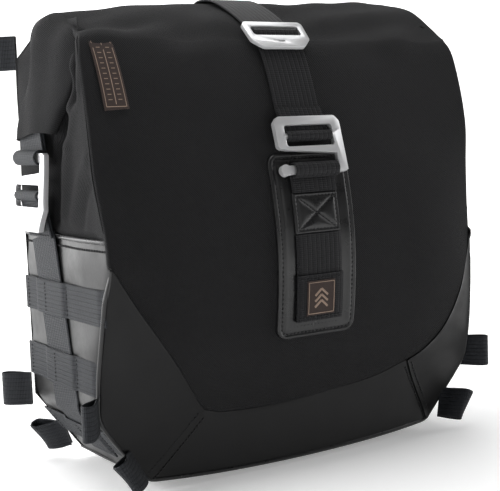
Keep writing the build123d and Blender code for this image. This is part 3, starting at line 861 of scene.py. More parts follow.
def canvas_side_grid(name):
    """The upper part of one side, with its folds."""
    sign = SIDES[name]
    z = np.concatenate([np.linspace(LEATHER_TOP, 306, 84), np.linspace(308, 325, 12)])
    front = gusset_front_y(name, z)
    share = np.linspace(0, 1, 84)[None]
    y = front[:, None] * (1 - share) + BACK_Y * share
    edge = half_width[name](np.minimum(z, 310)) - np.interp(z, [306, 326], [0, 14])
    x = edge[:, None] * (1 - share) + 165.4 * share - np.interp(z, [300, 326], [0, 22])[:, None] * share
    flat = np.stack([y, np.broadcast_to(z[:, None], y.shape)], axis=-1)
    shape = sum(amount * ridge(flat, line, width) for line, amount, width in FOLDS[name])
    shape = shape + 0.8 * ripple(y, flat[..., 1] * 0.5, 31 + sign, 42)
    inner = np.minimum(ease(share, 0, 0.06), 1 - 0.5 * ease(share, 0.9, 1))
    folded = shape * inner * ease(flat[..., 1], LEATHER_TOP, LEATHER_TOP + 14)
    tucked = 2.2 * (1 - ease(flat[..., 1], LEATHER_TOP, LEATHER_TOP + 9))
    x = x - 1.5 * ease(share, 0, 0.15) - tucked + folded
    limit = np.where(y > -14, 165.6, 168.5)
    return np.stack([sign * np.minimum(x, limit), y, flat[..., 1]], axis=-1)


def leather_side_grid(name):
    """The lower part of one side, down to the base."""
    sign = SIDES[name]
    path = smooth([(164.6, LEATHER_TOP + 1.0), (165.4, 150), (165.6, 110), (165.8, 64), (164.6, 52),
                   (160, 43), (148, 27.5), (128, 0.8)], 110)
    z = path[:, 1]
    front = front_edge(name, z)[:, 1] + 2.0
    share = np.linspace(0, 1, 70)[None]
    y = front[:, None] * (1 - share) + BACK_Y * share
    grid = np.stack(np.broadcast_arrays(path[:, :1], y, z[:, None]), axis=-1).copy()
    height = grid[..., 2]
    pressed = sum(hump(height, row, 15) for row in ROW_HEIGHTS)
    pillow = 2.6 * hump(y, -44, 26) * (1 - 0.8 * pressed) * ease(height, 45, 62)
    tuck = 2.2 * np.exp(-(y - front[:, None]) / 3.0) + 1.2 * np.exp(-(BACK_Y - y) / 3.0)
    creases = 0.45 * ripple(y, height * 1.6, 41 + sign, 70)
    along = unit(np.gradient(path, axis=0))
    outward = np.stack([-along[:, 1], np.zeros(len(along)), along[:, 0]], axis=1)
    amount = pillow - tuck + creases - 1.6
    grid = grid + outward[:, None] * amount[..., None]
    grid[..., 0] *= sign
    return grid


def build_gussets():
    threads = Threads()
    for name, sign in SIDES.items():
        upper = thick(cloth(f"{name}_side_canvas", canvas_side_grid(name), flip=sign > 0), CANVAS_THICK)
        settle(upper, MATERIALS["canvas"],
               bends=("bag", "roll_top", (0, 0, 296), (0, 0, 318)), stands_for=(f"{name}_gusset_canvas",))
        grid = leather_side_grid(name)
        lower = thick(cloth(f"{name}_side_leather", grid, flip=sign < 0), LEATHER_THICK)
        settle(lower, MATERIALS["leather"], "bag", stands_for=(f"{name}_gusset_leather",))
        top = grid[0].copy()
        top[:, 0] += sign * 1.6
        bead = tube(f"{name}_side_leather_edge", top, 1.7, (0, 0, 1), squash=0.8)
        # The bead wears the leather painted lighter, as a painted highlight.
        settle(bead, MATERIALS["binding"], "bag")
        stitched = grid[3] + np.array([sign * 0.1, 0, -1.0])
        threads.row(stitched[2:-2], (sign, 0, 0), pitch=3.2, radius=0.7, lift=1.7)
    threads.piece("side_leather_stitches", MATERIALS["thread"], "bag", "leather")


# ---------------------------------------------------------------- leather on the front and base
def corner_grid(name):
    """The leather between a slanted seam and the outer edge of the front."""
    seam = CANVAS_LEFT if name == "left" else CANVAS_RIGHT
    inner = smooth(seam[::-1], 70)
    heights = np.linspace(seam[-1][1] + 1, 1.0, 70)
    outer = spaced(np.stack([SIDES[name] * half_width[name](heights), heights], axis=1), 70)
    u = np.linspace(0, 1, 34)[None, :, None]
    flat = inner[:, None] * (1 - u) + outer[:, None] * u
    return front_surface(flat[..., 0], flat[..., 1])


def bottom_front_grid():
    """The leather between the two slanted seams, from the base up to the canvas."""
    cols = 100
    top = smooth(CANVAS_FOOT, cols)
    foot = np.stack([np.linspace(-129, 130, cols), np.full(cols, 0.6)], axis=1)
    r = np.linspace(0, 1, 26)[:, None, None]
    flat = foot[None] * (1 - r) + top[None] * r
    return front_surface(flat[..., 0], flat[..., 1])


def double_stitches(threads, start, foot):
    """Two rows of stitches, one on each side of a slanted seam on the front."""
    line = np.linspace(start, foot, 40)
    along = unit(line[-1] - line[0])
    side = np.array([-along[1], along[0]])
    for offset in (-3.2, 3.2):
        shifted = line + side * offset
        spots = front_surface(shifted[:, 0], np.maximum(shifted[:, 1], 1.0))
        threads.row(spots[1:-1], (0, -1, 0), pitch=3.0, radius=0.5, lift=0.35)


def build_front_leather():
    threads = Threads()
    for name, sign in SIDES.items():
        grid = corner_grid(name)
        grid = puffed(grid if sign > 0 else grid[:, ::-1])
        swell = 0.5 * ripple(grid[..., 0], grid[..., 2], 61 + sign, 60)
        grid = grid - normals_of(grid) * swell[..., None]
        piece = thick(cloth(f"{name}_corner_leather", grid, flip=True), LEATHER_THICK)
        settle(piece, MATERIALS["front_leather"], "bag", stands_for=(f"front_{name}_leather",))
    piece = thick(cloth("bottom_front_leather", puffed(bottom_front_grid())), LEATHER_THICK)
    settle(piece, MATERIALS["front_leather"], "bag", stands_for=("front_bottom_leather",))
    double_stitches(threads, (-89, 44), (-129, 2))
    double_stitches(threads, (99, 54), (130, 2))
    threads.piece("front_seam_stitches", MATERIALS["thread"], "bag", "leather")


def build_piping():
    """The bead round the lower front, with its ends tucked in under the canvas."""
    heights = np.concatenate([np.linspace(157, 50, 60), np.linspace(48, 1, 26)])
    left, right = front_edge("left", heights), front_edge("right", heights)
    foot = front_surface(np.linspace(-124, 124, 50), 0.5)
    path = spaced(np.concatenate([left, foot, right[::-1]]), 190)
    x, z = path[:, 0], path[:, 2]
    tuck = ease(z, 132, 157)
    path[:, 1] += 1.6 + 4.0 * tuck
    path[:, 0] += np.where(np.abs(x) > 127, np.sign(x) * (0.9 - 4.6 * tuck), 0.0)
    bead = tube("lower_front_bead", path, 1.9, (0, -1, 0), around=12)
    # The bead wears the leather painted lighter, as a painted highlight.
    settle(bead, MATERIALS["binding"], "bag", stands_for=("lower_front_piping",))


def build_base():
    half = 129
    x = np.linspace(-half, half, 60)
    front = front_surface(x, 0.4)[:, 1] + 1.5
    share = np.linspace(0, 1, 30)[:, None]
    y = front[None] * (1 - share) + BACK_Y * share
    sag = -3.2 * np.clip(1 - (x / half) ** 2, 0, 1)[None] * (1 - share ** 2)
    lifted = 0.4 + 0.25 * ripple(x[None], y, 71, 70)
    grid = np.stack(np.broadcast_arrays(x[None], y, sag + lifted), axis=-1)
    piece = thick(cloth("base_leather", grid, flip=True), 1.6)
    settle(piece, MATERIALS["leather"], "bag", stands_for=("bottom_panel",))


# ---------------------------------------------------------------- back and inside
def build_back():
    heights = np.concatenate([np.linspace(1, 50, 18), np.linspace(53, 319, 88)])
    wide = np.interp(heights, [0, 50, 300, 319], [128, 165.5, 165.5, 150])
    u = np.linspace(-1, 1, 90)[None]
    x = wide[:, None] * u
    z = np.broadcast_to(heights[:, None], x.shape)
    rim = np.minimum(wide[:, None] * (1 - np.abs(u)), np.minimum(z, 60))
    plate = ease(np.abs(x), 92, 104) + ease(np.abs(z - 150), 72, 86)
    y = BACK_Y - 1.6 * np.exp(-rim / 4.0) + 0.9 * ripple(x, z, 81, 110) * np.clip(plate, 0, 1) - 0.9
    y = np.minimum(y, BACK_Y + 0.1)
    grid = np.stack([x, y, z], axis=-1)
    piece = thick(cloth("back_canvas", grid, flip=True), CANVAS_THICK)
    settle(piece, MATERIALS["canvas"], "bag", stands_for=("back_panel",))


def dress_plates():
    """Gives the board, the back plate and its rivets, which keep their shapes, their materials."""
    for node, material in (("back_stiffener", "board"), ("base_stiffener", "board"),
                           ("back_plate", "plate"), ("back_plate_rivets", "rivet")):
        mesh = NODES[node].data
        mesh.materials.clear()
        mesh.materials.append(MATERIALS[material])


def liner_ring(z, count=121):
    """The liner's outline at one height, with its corners cut off."""
    wide = float(np.interp(z, [0, 50, 190, 235, 307], [121, 159, 158, 146, 140]))
    front = float(front_depth(z)) + 6.5 + (6.0 if z < 130 else 3.0)
    side_front, side_back, back = front + 14, 44, 51.5
    corners = np.array([(-wide, side_front), (-wide + 12, front), (0, front), (wide - 12, front),
                        (wide, side_front), (wide, side_back), (wide - 8, back), (0, back),
                        (-wide + 8, back), (-wide, side_back), (-wide, side_front)])
    return np.column_stack([spaced(corners, count), np.full(count, z)])


def build_liner():
    grid = np.array([liner_ring(z) for z in np.linspace(4.5, 307, 60)])
    crumple = 0.8 * ripple(grid[..., 0] + grid[..., 1], grid[..., 2], 91, 48)
    grid = grid + normals_of(grid) * crumple[..., None]
    grid[:, -1] = grid[:, 0]
    piece = thick(cloth("inner_lining", grid), 0.8)
    settle(piece, MATERIALS["liner"], "bag", stands_for=("inner_liner",))


# ---------------------------------------------------------------- straps over the top and down the front
ACROSS = (1, 0, 0)
HOOK_LEAN = 16.5
SLIDER_DIRECTION = (0.6846, 0.7289)


def loop_line(bar, foot, radius):
    """Webbing from its foot, round a bar and back, as (depth, z) with depth towards the bag."""
    rise = 1.0 if foot[1] > bar[1] else -1.0
    turns = np.radians([62, 90, 120, 150, 180, 210, 240, 270, 300, 330, 356])
    ring = np.stack([bar[0] + radius * np.cos(turns), bar[1] + rise * radius * np.sin(turns)], axis=1)
    half_gap, share = 0.72, 0.55
    start = np.array([[foot[0] - half_gap, foot[1]]])
    finish = np.array([[foot[0] + half_gap, foot[1]]])
    middle_out = start * (1 - share) + ring[:1] * share
    middle_in = finish * (1 - share) + ring[-1:] * share
    return smooth(np.concatenate([start, middle_out, ring, middle_in, finish]), 70)


def in_middle(line):
    """From (y, z) to points on the bag's middle plane."""
    return np.column_stack([np.zeros(len(line)), line])


def centre_strap_line():
    """Up the back, over the roll and down the front to its hook."""
    lift = float(roll_lift(0.0)) + 1.9
    over = [(61.3, 247), (61.3, 280), (61.3, 306), (60.5, 316), (56, 326 + lift * 0.5), (47, 335 + lift),
            (36, 340 + lift), (18, 338.5 + lift), (-2, 331 + lift), (-24, 321.7 + lift * 0.45)]
    crest = [tuple(front_place(z, 1.35)) for z in (312, 300, 285, 270, 260, 257.4)]
    return in_middle(smooth(over + crest, 190))


def build_centre_strap():
    """The strap in two pieces that meet on the roll."""
    line = centre_strap_line()
    on_roll = line[:, 2] > 310
    cut = int(np.argmin(np.where(on_roll, np.abs(line[:, 1] + 15), np.inf)))
    rear = webbing("strap_over_the_roll", line[:cut + 1], ACROSS, STRAP_WIDTH, end=False)
    settle(rear, MATERIALS["strap"],
           bends=("bag", "roll_top", (0, 61, 308), (0, 54, 328)),
           stands_for=("strap_rear_anchor", "strap_over_roll"))
    run = run_length(line)[cut]
    front = webbing("front_strap_webbing", line[cut:], ACROSS, STRAP_WIDTH, start=False, run_from=run)
    settle(front, MATERIALS["strap"],
           bends=("roll_top", "front_strap", (0, -17, 325), (0, -33, 315)), stands_for=("front_strap",))


def build_front_loops():
    """The loops that hold the front hook and its catch."""
    window_z, catch_z = 237.0, 213.0
    window = front_place(window_z, 8.2)[0]
    loop = loop_line((window - 0.4, window_z), tuple(front_place(257.2, 2.1)), 3.2)
    hanging = webbing("front_hook_loop", in_middle(loop), ACROSS, STRAP_WIDTH)
    settle(hanging, MATERIALS["strap"],
           bends=("front_strap", "front_hook", (0, -66.8, 258.5), (0, -69, 252)),
           stands_for=("front_hook_webbing",))
    catch_y = window - (window_z - catch_z) * np.tan(radians(HOOK_LEAN))
    catch = loop_line((catch_y, catch_z), tuple(front_place(196.0, 4.3)), 4.9)
    held = webbing("front_catch_webbing", in_middle(catch), ACROSS, STRAP_WIDTH - 1)
    settle(held, MATERIALS["strap"], "bag", stands_for=("front_catch_loop",))


def build_rear_stitches():
    threads = Threads()
    for z in (252, 300):
        line = np.column_stack([np.linspace(-17, 17, 12), np.full(12, 62.1), np.full(12, z)])
        threads.row(line, (0, 1, 0), pitch=3.0, radius=0.4, lift=0.1)
    threads.piece("rear_strap_stitches", MATERIALS["thread"], "bag", "webbing")


def build_slider_fold():
    """The fold of webbing that shows in the slider's opening."""
    low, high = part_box("slider_webbing")
    middle = (low + high) / 2 / MM
    along = unit(np.array(SLIDER_DIRECTION))
    out = np.array([-along[1], along[0]])
    shape = [(-5.2, -2.0), (-3.6, -0.6), (-2.0, 0.9), (0, 1.5), (2.0, 0.9), (3.6, -0.6), (5.2, -2.0)]
    line = [np.array([middle.y, middle.z]) + along * a + out * b for a, b in shape]
    piece = webbing("slider_fold", in_middle(smooth(line, 26)), ACROSS, 39.6)
    settle(piece, MATERIALS["strap"], "front_slider", stands_for=("slider_webbing",))


# ---------------------------------------------------------------- the patch
PATCH_Z, PATCH_SEAM = 158, 3.9
TAB_Z, TAB_SEAM = 181.5, 2.8


def rounded_distance(x, z, half_x, half_z, radius):
    """How far inside a rounded rectangle each point lies."""
    qx, qz = np.abs(x) - half_x + radius, np.abs(z) - half_z + radius
    outside = np.hypot(np.maximum(qx, 0), np.maximum(qz, 0))
    return radius - outside - np.minimum(np.maximum(qx, qz), 0)


def on_front(x, z, out):
    """Points `out` in front of the flat middle of the front."""
    shape = np.broadcast(x, z, out).shape
    x, z, out = (np.broadcast_to(v, shape) for v in (x, z, out))
    slope = (front_depth(z + 1) - front_depth(z - 1)) / 2
    size = np.sqrt(1 + slope ** 2)
    return np.stack([x, front_depth(z) - out / size, z + slope * out / size], axis=-1)


def dense_ends(low, high, count):
    """Numbers from low to high that lie closer together at both ends."""
    turn = np.linspace(0, np.pi, count)
    return (low + high) / 2 - np.cos(turn) * (high - low) / 2


def pad_on_front(name, middle_z, half_x, half_z, radius, base, height, counts, shape):
    """A soft leather pad with a rounded outline and turned edges."""
    v = dense_ends(-half_z, half_z, counts[1])[:, None]
    u = dense_ends(-1, 1, counts[0])[None]
    short = np.clip(radius - (half_z - np.abs(v)), 0, radius)
    wide = half_x - (radius - np.sqrt(np.maximum(radius ** 2 - short ** 2, 0)))
    x = u * wide
    z = np.broadcast_to(v, x.shape)
    inside = np.maximum(rounded_distance(x, z, half_x, half_z, radius), 0)
    rounding = 1.8
    rim = np.sqrt(np.clip(1 - (1 - np.minimum(inside, rounding) / rounding) ** 2, 0, 1))
    out = base + height * rim + shape(x, z, inside)
    return cloth(name, on_front(x, z + middle_z, out))


def outline(half_x, half_z, radius, inset):
    """Points round a rounded rectangle, moved in by `inset`."""
    half_x, half_z, radius = half_x - inset, half_z - inset, max(radius - inset, 0.5)
    points = []
    for centre_x, centre_z, start in ((1, 1, 0), (-1, 1, 90), (-1, -1, 180), (1, -1, 270)):
        turn = np.radians(np.linspace(start, start + 90, 9))
        points.append(np.stack([centre_x * (half_x - radius) + radius * np.cos(turn),
                                centre_z * (half_z - radius) + radius * np.sin(turn)], axis=1))
    points = np.vstack(points)
    return spaced(np.vstack([points, points[:1]]), 240)


def patch_relief(x, z, inside):
    """A stitched groove inside the border, a lower field and a little unevenness."""
    groove = -1.0 * hump(inside, PATCH_SEAM, 1.0)
    field = -0.5 * ease(inside, 6, 10)
    return groove + field + 0.12 * ripple(x, z, 101, 17) * ease(inside, 1, 3)


def tab_relief(x, z, inside):
    """Grooves along the tab's stitched border and along its two diagonals."""
    rim = np.abs(inside - TAB_SEAM)
    slope = 12.6 / 17.6
    diagonals = np.minimum(np.abs(z - x * slope), np.abs(z + x * slope)) / np.hypot(1, slope)
    near = np.minimum(rim, np.where(inside > TAB_SEAM, diagonals, np.inf))
    return 1.0 * (1 - np.exp(-near / 1.6)) - 0.6


def stitched_on_front(threads, x, z, out, pitch, radius, lift):
    threads.row(on_front(x, z, out), (0, -1, 0), pitch, radius, lift)


def build_backing_patch(threads):
    size = (35, 67, 9)
    patch = pad_on_front("leather_backing_patch", PATCH_Z, *size, 0.2, 2.4, (64, 120), patch_relief)
    # The patch wears the leather painted lighter, as a painted highlight.
    settle(patch, MATERIALS["binding"], "bag", stands_for=("leather_patch",))
    ring = outline(*size, PATCH_SEAM)
    stitched_on_front(threads, ring[:, 0], ring[:, 1] + PATCH_Z, 1.85, 3.3, 0.48, 0.05)


def build_crossed_tab(threads):
    size = (20, 14.7, 1.5)
    tab = pad_on_front("crossed_leather_tab", TAB_Z, *size, 2.2, 2.4, (64, 56), tab_relief)
    # The tab wears the leather painted lighter, as a painted highlight.
    settle(tab, MATERIALS["binding"], "bag", stands_for=("box_stitch_patch",))
    ring = outline(*size, TAB_SEAM)
    stitched_on_front(threads, ring[:, 0], ring[:, 1] + TAB_Z, 4.1, 3.0, 0.45, 0.05)
    reach_x, reach_z = 16.4, 11.3
    x = np.linspace(-reach_x, reach_x, 30)
    for sign in (-1, 1):
        stitched_on_front(threads, x, x * sign * reach_z / reach_x + TAB_Z, 4.1, 3.0, 0.45, 0.05)


def build_patch_webbing(threads):
    """The webbing down the patch and the fold over its foot, with their stitches."""
    heights = np.concatenate([[166.5], np.linspace(165, 105, 40), [103.6]])
    folded = np.linspace(137.5, 103.9, 26)
    for name, rows, out, width, nodes in (
            ("patch_webbing_strip", heights, 3.3, 40.5, ("patch_webbing",)),
            ("patch_webbing_fold", folded, 4.6, 41.2, ())):
        strip = webbing(name, on_front(0.0, rows, out), (-1, 0, 0), width, 1.3)
        settle(strip, MATERIALS["strap"], "bag", stands_for=nodes)
    x = np.linspace(-18.5, 18.5, 24)
    for z in (134.6, 106.6):
        stitched_on_front(threads, x, z, 5.3, 3.0, 0.42, 0.1)
    stitched_on_front(threads, np.linspace(-19, 19, 24), 100.2, 1.9, 3.0, 0.45, 0.0)


def build_patch():
    threads = Threads()
    build_backing_patch(threads)
    build_crossed_tab(threads)
    build_patch_webbing(threads)
    threads.piece("patch_stitches", MATERIALS["thread"], "bag", "leather")


def bar(name, points, width, place):
    """One narrow embroidered bar between points (x, z)."""
    line = spaced(points, 8)
    spots = place(line[:, 0], line[:, 1], 0.35)
    along = unit(np.gradient(spots, axis=0))
    side = unit(np.cross(along, np.broadcast_to([0, -1.0, 0], along.shape)))
    return webbing(name, spots, side, width, 0.35)


def joined(name, pieces):
    """Several meshes as one piece."""
    bpy.ops.object.select_all(action="DESELECT")
    for piece in pieces:
        piece.select_set(True)
    bpy.context.view_layer.objects.active = pieces[0]
    bpy.ops.object.join()
    pieces[0].name = name
    pieces[0].data.name = name
    return pieces[0]


def bars(name, strokes, place):
    made = [bar(f"{name}_{i}", points, width, place) for i, (points, width) in enumerate(strokes)]
    settle(joined(name, made), MATERIALS["tan"], "bag")


def frame_strokes(half_x, half_z, width):
    """The four bars of a label's border."""
    corners = [(-half_x, -half_z), (half_x, -half_z), (half_x, half_z), (-half_x, half_z)]
    return [([a, b], width) for a, b in zip(corners, corners[1:] + corners[:1])]


def build_emblem():
    """A small stitched label with a plain chevron mark."""
    middle = 120.5

    def place(x, z, lift):
        return on_front(x, z + middle, 5.65 + lift)

    line = on_front(0.0, np.linspace(-12.6, 12.6, 16) + middle, 5.55)
    label = webbing("emblem_backing", line, ACROSS, 25.0, 0.7)
    settle(label, MATERIALS["label"], "bag", stands_for=("emblem_label",))
    strokes = frame_strokes(11.2, 11.2, 0.5)
    for rise in (-3.6, 0.6, 4.8):
        foot, peak = rise - 3.2, rise + 1.6
        strokes += [([(-5.6, foot), (0, peak)], 1.7), ([(0, peak), (5.6, foot)], 1.7)]
    bars("emblem_threads", strokes, place)


def build_woven_label():
    """The narrow label on the upper left of the front, with a border and a plain woven pattern."""
    x0, z0, half_x, half_z = -146.0, 283.5, 9.2, 24.0
    tilt = 0.045

    def place(x, z, lift):
        px, pz = x0 + x - z * tilt, z0 + z
        spot = front_surface(px, pz)
        ahead = front_surface(px, pz + 1) - spot
        aside = front_surface(px + 1, pz) - spot
        return spot + unit(np.cross(aside, ahead)) * (0.9 + lift)

    z = np.linspace(-half_z, half_z, 40)
    spots = place(np.zeros(40), z, 0.0)
    side = unit(place(np.ones(40), z, 0.0) - place(-np.ones(40), z, 0.0))
    label = webbing("woven_label_backing", spots, side, 2 * half_x, 0.9)
    settle(label, MATERIALS["label"], "bag", stands_for=("woven_label",))
    strokes = frame_strokes(half_x - 1.9, half_z - 2.0, 0.6)
    strokes.append(([(0, -half_z + 3.5), (0, half_z - 3.5)], 0.5))
    for column in (-3.6, 3.6):
        for i in range(11):
            middle_z = -17.5 + i * 3.5
            strokes.append(([(column - 1.4, middle_z), (column + 1.4, middle_z)], 0.9))
    bars("woven_label_threads", strokes, place)


# ---------------------------------------------------------------- side webbing
SIDE_X = 166.9


def strap_middle(z):
    """How far back the leaning side strap is at one height."""
    return STRAP_Y - (LEATHER_TOP - z) * STRAP_LEAN


def chamfer_point(up, out):
    """A point `up` along the lower corner's slope from the base and `out` from it, as (x, z)."""
    slope = unit(np.array([CHAMFER_RUN, CHAMFER_RISE]))
    return np.array([CHAMFER_X, 0.0]) + slope * up + np.array([slope[1], -slope[0]]) * out


def build_side_webbing():
    for name, sign in SIDES.items():
        threads = Threads()
        build_side_strap(name, sign)
        build_rows(name, sign, threads)
        build_corner_row(name, sign, threads)
        build_side_hook_webbing(name, sign, threads)
        threads.piece(f"{name}_webbing_stitches", MATERIALS["thread"], "bag", "webbing")


def build_side_strap(name, sign):
    z = np.linspace(LEATHER_TOP + 1, 56, 50)
    straight = np.column_stack([np.full(len(z), SIDE_X), strap_middle(z), z])
    corner = [(166.6, strap_middle(51), 51.0), (164.9, strap_middle(48), 47.0)]
    spots = [chamfer_point(up, 0.9) for up in (54, 44, 34, 24, 18)]
    slope = [(x, strap_middle(49), height) for x, height in spots]
    line = spaced(dense(np.vstack([straight[::7], corner, slope]), 12), 90)
    line[:, 0] *= sign
    piece = webbing(f"{name}_side_strap_webbing", line, (0, 1, 0), STRAP_WIDTH)
    settle(piece, MATERIALS["rows"], "bag", stands_for=(f"{name}_side_strap",))


def over_strap(y, middle):
    """1 where a row of webbing lies on the side strap, and 0 beside it."""
    return ease(26 - np.abs(y - middle), 0, 4)


def build_rows(name, sign, threads):
    for i, z in enumerate(ROW_HEIGHTS):
        middle = strap_middle(z)
        front = float(front_edge(name, z)[1]) + 1.5
        y = np.concatenate([np.linspace(57.5, middle + 26, 8), np.linspace(middle + 23, middle - 23, 18),
                            np.linspace(middle - 26, front + 3, 16), [front]])
        over = over_strap(y, middle)
        x = SIDE_X + 1.75 * over - 1.8 * ease(-y, -front - 7, -front) + 0.25 * hump(y, middle - 40, 9)
        line = np.column_stack([sign * x, y, np.full(len(y), z)])
        piece = webbing(f"{name}_webbing_row_{i + 1}", spaced(line, 70), (0, 0, 1), ROW_WIDTH)
        settle(piece, MATERIALS["rows"], "bag", stands_for=(f"{name}_molle_row_{i + 1}",))
        for y_at, x_at in ((middle - 26.5, 167.7), (middle + 7, 169.4), (52, 167.7)):
            spots = np.column_stack([np.full(10, sign * x_at), np.full(10, y_at),
                                     np.linspace(z - 11, z + 11, 10)])
            threads.row(spots, (sign, 0, 0), pitch=2.6, radius=0.42, lift=0.05)


def build_corner_row(name, sign, threads):
    """The lowest row, on the slope of the lower corner."""
    up, middle = 36.8, strap_middle(49)
    y = np.linspace(57, -47, 60)
    spots = np.array([chamfer_point(up, 0.9 + 1.7 * over) for over in over_strap(y, middle)])
    line = np.column_stack([sign * spots[:, 0], y, spots[:, 1]])
    slope = (sign * CHAMFER_RUN, 0, CHAMFER_RISE)
    piece = webbing(f"{name}_webbing_row_3", line, slope, ROW_WIDTH)
    settle(piece, MATERIALS["rows"], "bag", stands_for=(f"{name}_molle_row_3",))
    for y_at, out in ((middle - 27, 1.7), (middle + 7, 3.4), (50, 1.7)):
        ends = [chamfer_point(up + step, out) for step in (-10.5, 10.5)]
        spots = np.array([(sign * p[0], y_at, p[1]) for p in ends])
        threads.row(spaced(spots, 10), (sign * 0.8, 0, -0.6), pitch=2.6, radius=0.42, lift=0.05)


def build_side_hook_webbing(name, sign, threads):
    """The loops below and above one side hook."""
    def on_side(line):
        return np.column_stack([-sign * line[:, 0], np.full(len(line), STRAP_Y), line[:, 1]])

    lower = loop_line((-176.0, 202.0), (-168.2, 172.0), 3.2)
    piece = webbing(f"{name}_hook_loop", on_side(lower), (0, 1, 0), STRAP_WIDTH)
    settle(piece, MATERIALS["rows"],
           bends=("bag", f"{name}_hook", (sign * 168, 20, 171.5), (sign * 170, 20, 178)),
           stands_for=(f"{name}_hook_webbing",))
    upper = loop_line((-174.0, 229.0), (-172.6, 254.0), 4.9)
    piece = webbing(f"{name}_tail_webbing", on_side(upper), (0, 1, 0), STRAP_WIDTH - 1)
    settle(piece, MATERIALS["rows"], f"{name}_tail", stands_for=(f"{name}_tail_loop",))
    spots = np.column_stack([np.full(20, sign * 170.0), np.linspace(2, 38, 20), np.full(20, 173.6)])
    threads.row(spots, (sign, 0, 0), pitch=2.8, radius=0.42, lift=0.1)


# ---------------------------------------------------------------- lashing tabs
def tab_piece(name, root, outward, seam):
    """A folded webbing tab sewn into a seam, open as a soft loop."""
    outward, seam = unit(np.array(outward, float)), unit(np.array(seam, float))
    spread = unit(np.cross(seam, outward))
    shape = [(1.0, -0.85), (5.5, -1.4), (11, -2.9), (17, -3.7), (21.5, -3.1), (23.8, 0.0), (21.5, 3.1),
             (17, 3.7), (11, 2.9), (5.5, 1.4), (1.0, 0.85)]
    line = smooth(shape, 44)
    points = np.array(root, float) + outward * line[:, :1] + spread * line[:, 1:]
    piece = webbing(f"{name}_webbing", points, seam, ROW_WIDTH)
    settle(piece, MATERIALS["rows"], "bag", stands_for=(name,))


def build_tabs():
    lower_z, upper = 14.0, (0, 0, 1)
    lower_x = CHAMFER_X + CHAMFER_RUN * lower_z / CHAMFER_RISE
    for side, sign in SIDES.items():
        slope = (-sign * CHAMFER_RUN, 0, -CHAMFER_RISE)
        for place, root, outward, seam in (
                ("upper_front", (166, -54, 53), (1, -1, 0), upper),
                ("upper_back", (166, BACK_Y, 53), (1, 1, 0), upper),
                ("lower_front", (lower_x, -57, lower_z), (1, -1, -0.15), slope),
                ("lower_back", (lower_x, BACK_Y, lower_z), (1, 1, -0.15), slope),
                ("top_back", (163, BACK_Y, 306), (0.8, 1, 0), upper)):
            mirror = np.array([sign, 1, 1])
            tab_piece(f"{side}_{place}_lash_tab", root * mirror, outward * mirror, seam)


# ---------------------------------------------------------------- hardware
METAL_ROUNDING = {"front_hook": 0.7, "front_slider": 0.5, "left_hook": 0.7, "right_hook": 0.7}


def rounded_metal(node, rounding):
    """A copy of a metal part of the frame, with its sharp edges broken."""
    copy = bpy.data.objects.new(f"{node}_metal", NODES[node].data.copy())
    bpy.context.scene.collection.objects.link(copy)
    weld = copy.modifiers.new("weld", "WELD")
    weld.merge_threshold = 0.00001
    flat = copy.modifiers.new("flat", "DECIMATE")
    flat.decimate_type = "DISSOLVE"
    flat.angle_limit = radians(1.5)
    soft = copy.modifiers.new("soft", "BEVEL")
    soft.width = rounding * MM
    soft.segments = 3
    soft.limit_method = "ANGLE"
    edge_angle = radians(35)
    soft.angle_limit = edge_angle
    baked(copy)
    copy.data.polygons.foreach_set("use_smooth", [True] * len(copy.data.polygons))
    copy.data.set_sharp_from_angle(angle=edge_angle)
    settle(copy, MATERIALS["metal"], node, stands_for=(node,))


def build_hardware():
    for node, rounding in METAL_ROUNDING.items():
        rounded_metal(node, rounding)


# ---------------------------------------------------------------- studio
CAMERA_PLACE = (-0.491, -0.755, 0.245)
CAMERA_TURN, CAMERA_TILT, CAMERA_ROLL = -32.9, 5.9, -2.2
CAMERA_LENS = 82.63
BAG_MIDDLE = (0, 0, 0.16)
FLOOR_DROP = 0.004


def build_camera():
    turn, tilt, roll = (radians(v) for v in (CAMERA_TURN, CAMERA_TILT, CAMERA_ROLL))
    back = Vector((sin(turn) * cos(tilt), -cos(turn) * cos(tilt), sin(tilt)))
    right = (-back).cross(Vector((0, 0, 1))).normalized()
    up = back.cross(right)
    level_right = right * cos(roll) + up * sin(roll)
    level_up = up * cos(roll) - right * sin(roll)
    rotation = Matrix((level_right, level_up, back)).transposed().to_4x4()
    data = bpy.data.cameras.new("studio_camera")
    data.lens = CAMERA_LENS
    data.sensor_width = 36.0
    data.clip_start = 0.01
    camera = bpy.data.objects.new("studio_camera", data)
    camera.matrix_world = Matrix.Translation(CAMERA_PLACE) @ rotation
    bpy.context.scene.collection.objects.link(camera)
    bpy.context.scene.camera = camera


def soft_light(name, place, size, power):
    """A wide lamp aimed at the middle of the bag."""
    data = bpy.data.lights.new(name, "AREA")
    data.shape = "RECTANGLE"
    data.size, data.size_y = size
    data.energy = power
    light = bpy.data.objects.new(name, data)
    light.location = place
    light.rotation_euler = (Vector(BAG_MIDDLE) - Vector(place)).to_track_quat("-Z", "Y").to_euler()
    bpy.context.scene.collection.objects.link(light)


def paper_material():
    """White paper that glows more away from the bag, so that it stays white out of the lights."""
    material, tree, shader = shell_material("Pale paper")
    place = tree.node("ShaderNodeTexCoord").outputs["Object"]
    away = tree.node("ShaderNodeVectorMath", operation="LENGTH")
    tree.put(away.inputs[0], place)
    shader.inputs["Base Color"].default_value = (0.95, 0.95, 0.95, 1)
    shader.inputs["Roughness"].default_value = 0.9
    shader.inputs["Specular IOR Level"].default_value = 0.1
    glow = tree.range(away.outputs["Value"], 0.34, 1.1, 0.27, 1.0)
    tree.put(shader.inputs["Emission Color"], tree.blend(glow, (0, 0, 0, 1), (1, 1, 1, 1)))
    shader.inputs["Emission Strength"].default_value = 1.0
    return material


